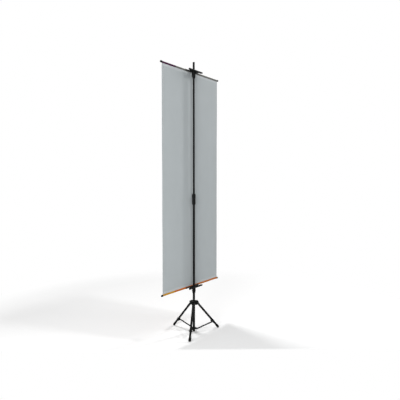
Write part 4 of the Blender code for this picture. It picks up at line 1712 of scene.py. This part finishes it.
@dataclass
class Studio:
    """A pale floor under a white surround, soft lamps, and the photograph's camera.

    Attributes:
        camera_place: Where the camera stands.
        camera_heading: The way it looks, in degrees.
        camera_pitch: How far it looks up, in degrees.
        focal_pixels: Its focal length, in pixels of the photograph.
        sensor_width: The width in millimetres that this focal length is turned to.
        lamps: The soft boxes.
        lamps_aim: The height that they aim at.
        ambient: The strength of the even light.
        floor_colour: The floor's colour, as sRGB hex.
        floor_radius: The floor's radius.
        floor_far: Between which distances from the stand it turns white.
        floor_front: Between which distances towards the camera it does.
    """

    camera_place: tuple[float, float, float] = (2.842, 2.275, 1.410)
    camera_heading: float = 127.775
    camera_pitch: float = -2.707
    focal_pixels: float = 392.65
    sensor_width: float = 36.0
    lamps: tuple[Lamp, ...] = (
        Lamp("back_box", 196, 57, 8.0, (0.7, 0.7), 128),
        Lamp("second_back_box", 209, 43.0, 8.0, (1.2, 1.2), 60),
        Lamp("side_box", 254.5, 24, 8.0, (0.7, 3.0), 292),
        Lamp("left_box", 107, 8, 4.0, (1.8, 1.4), 142),
        Lamp("front_box", -15.4, 65.3, 8.0, (1.2, 1.2), 336),
    )
    lamps_aim: float = 1.2
    ambient: float = 0.207
    floor_colour: str = "#ECECEC"
    floor_radius: float = 14.0
    floor_far: Pair = (1.9, 2.7)
    floor_front: Pair = (0.385, 0.425)

    def build(self) -> None:
        """Make the camera, the lamps, the surround and the floor."""
        self.camera()
        for lamp in self.lamps:
            lamp.build(Vector((0, 0, self.lamps_aim)))
        self.surround()
        self.floor()

    def camera(self) -> None:
        """Stand the camera where the photograph was taken."""
        data = bpy.data.cameras.new("camera")
        data.sensor_width = self.sensor_width
        data.lens = data.sensor_width * self.focal_pixels / PHOTO_SIZE
        camera = placed("camera", data)
        camera.location = self.camera_place
        tilt = math.radians(90 + self.camera_pitch)
        camera.rotation_euler = (tilt, 0.0, math.radians(self.camera_heading))
        bpy.context.scene.camera = camera

    def surround(self) -> None:
        """White where the camera and reflections see it, and an even soft light elsewhere."""
        world = bpy.context.scene.world = bpy.data.worlds.new("surround")
        tree = cleared(world)
        ray = add_node(tree, "ShaderNodeLightPath").outputs
        seen = ray["Is Camera Ray"]
        for other in ("Is Glossy Ray", "Is Transmission Ray"):
            seen = add_node(
                tree, "ShaderNodeMath", {"operation": "MAXIMUM"}, {0: seen, 1: ray[other]}
            ).outputs[0]
        soft, white = (
            add_node(
                tree, "ShaderNodeBackground", inputs={"Color": srgb(WHITE), "Strength": strength}
            )
            for strength in (self.ambient, 1.0)
        )
        self.end(tree, seen, soft, white, "ShaderNodeOutputWorld")

    def floor(self) -> None:
        """A pale matt floor that takes the shadows. It turns white far off and near the camera."""
        made = bmesh.new()
        bmesh.ops.create_circle(made, cap_ends=True, segments=TURN_STEPS, radius=self.floor_radius)
        floor = placed("floor", kept(made, "floor"))
        material = bpy.data.materials.new("painted_floor")
        tree = cleared(material)
        matt = add_node(tree, "ShaderNodeBsdfDiffuse", inputs={"Color": srgb(self.floor_colour)})
        white = add_node(tree, "ShaderNodeEmission", inputs={"Color": srgb(WHITE), "Strength": 1.0})
        point = add_node(tree, "ShaderNodeTexCoord").outputs["Object"]
        front = Vector((self.camera_place[0], self.camera_place[1], 0)).normalized()
        away = add_node(tree, "ShaderNodeVectorMath", {"operation": "LENGTH"}, {0: point})
        ahead = add_node(
            tree, "ShaderNodeVectorMath", {"operation": "DOT_PRODUCT"}, {0: point, 1: front}
        )
        far, near = (
            add_node(
                tree, "ShaderNodeMapRange", {"interpolation_type": "SMOOTHSTEP"},
                {"Value": value.outputs["Value"], "From Min": start, "From Max": end},
            ).outputs[0]
            for value, (start, end) in ((away, self.floor_far), (ahead, self.floor_front))
        )
        seen = add_node(tree, "ShaderNodeLightPath").outputs["Is Camera Ray"]
        share = far
        for operation, value in (("MAXIMUM", near), ("MULTIPLY", seen)):
            share = add_node(
                tree, "ShaderNodeMath", {"operation": operation}, {0: share, 1: value}
            ).outputs[0]
        self.end(tree, share, matt, white, "ShaderNodeOutputMaterial")
        floor.data.materials.append(material)

    def end(self, tree: NodeTree, share: NodeSocket, below: Node, above: Node, output: str) -> None:
        """Mix two shaders by a share, and end the tree.

        Args:
            tree: The tree.
            share: The second shader's share.
            below: The first shader.
            above: The second shader.
            output: The type name of the tree's last node.
        """
        inputs = {0: share, 1: below.outputs[0], 2: above.outputs[0]}
        mixed = add_node(tree, "ShaderNodeMixShader", inputs=inputs)
        add_node(tree, output, inputs={"Surface": mixed.outputs[0]})


def main() -> None:
    """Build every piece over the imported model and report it."""
    logging.basicConfig(level=logging.INFO, format="%(message)s")
    bpy.context.scene.view_settings.view_transform = "Standard"
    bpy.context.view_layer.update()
    Studio().build()
    Tubes().build()
    Fittings().build()
    ribs = rib_ring_tree()
    lower_tube, upper_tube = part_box("lower_pole")[1].x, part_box("upper_pole")[1].x
    LockNut("mid_clamp_nut", True, upper_tube).build(ribs)
    LockNut("top_lock_nut", False, upper_tube).build(ribs)
    LockNut("bottom_lock_nut", False, lower_tube).build(ribs)
    beads = bead_stack_tree()
    for number in LEGS:
        Foot(number).build(beads)
    Banner().build(sheet_tree(), stitch_tree())


if __name__ == "__main__":
    main()
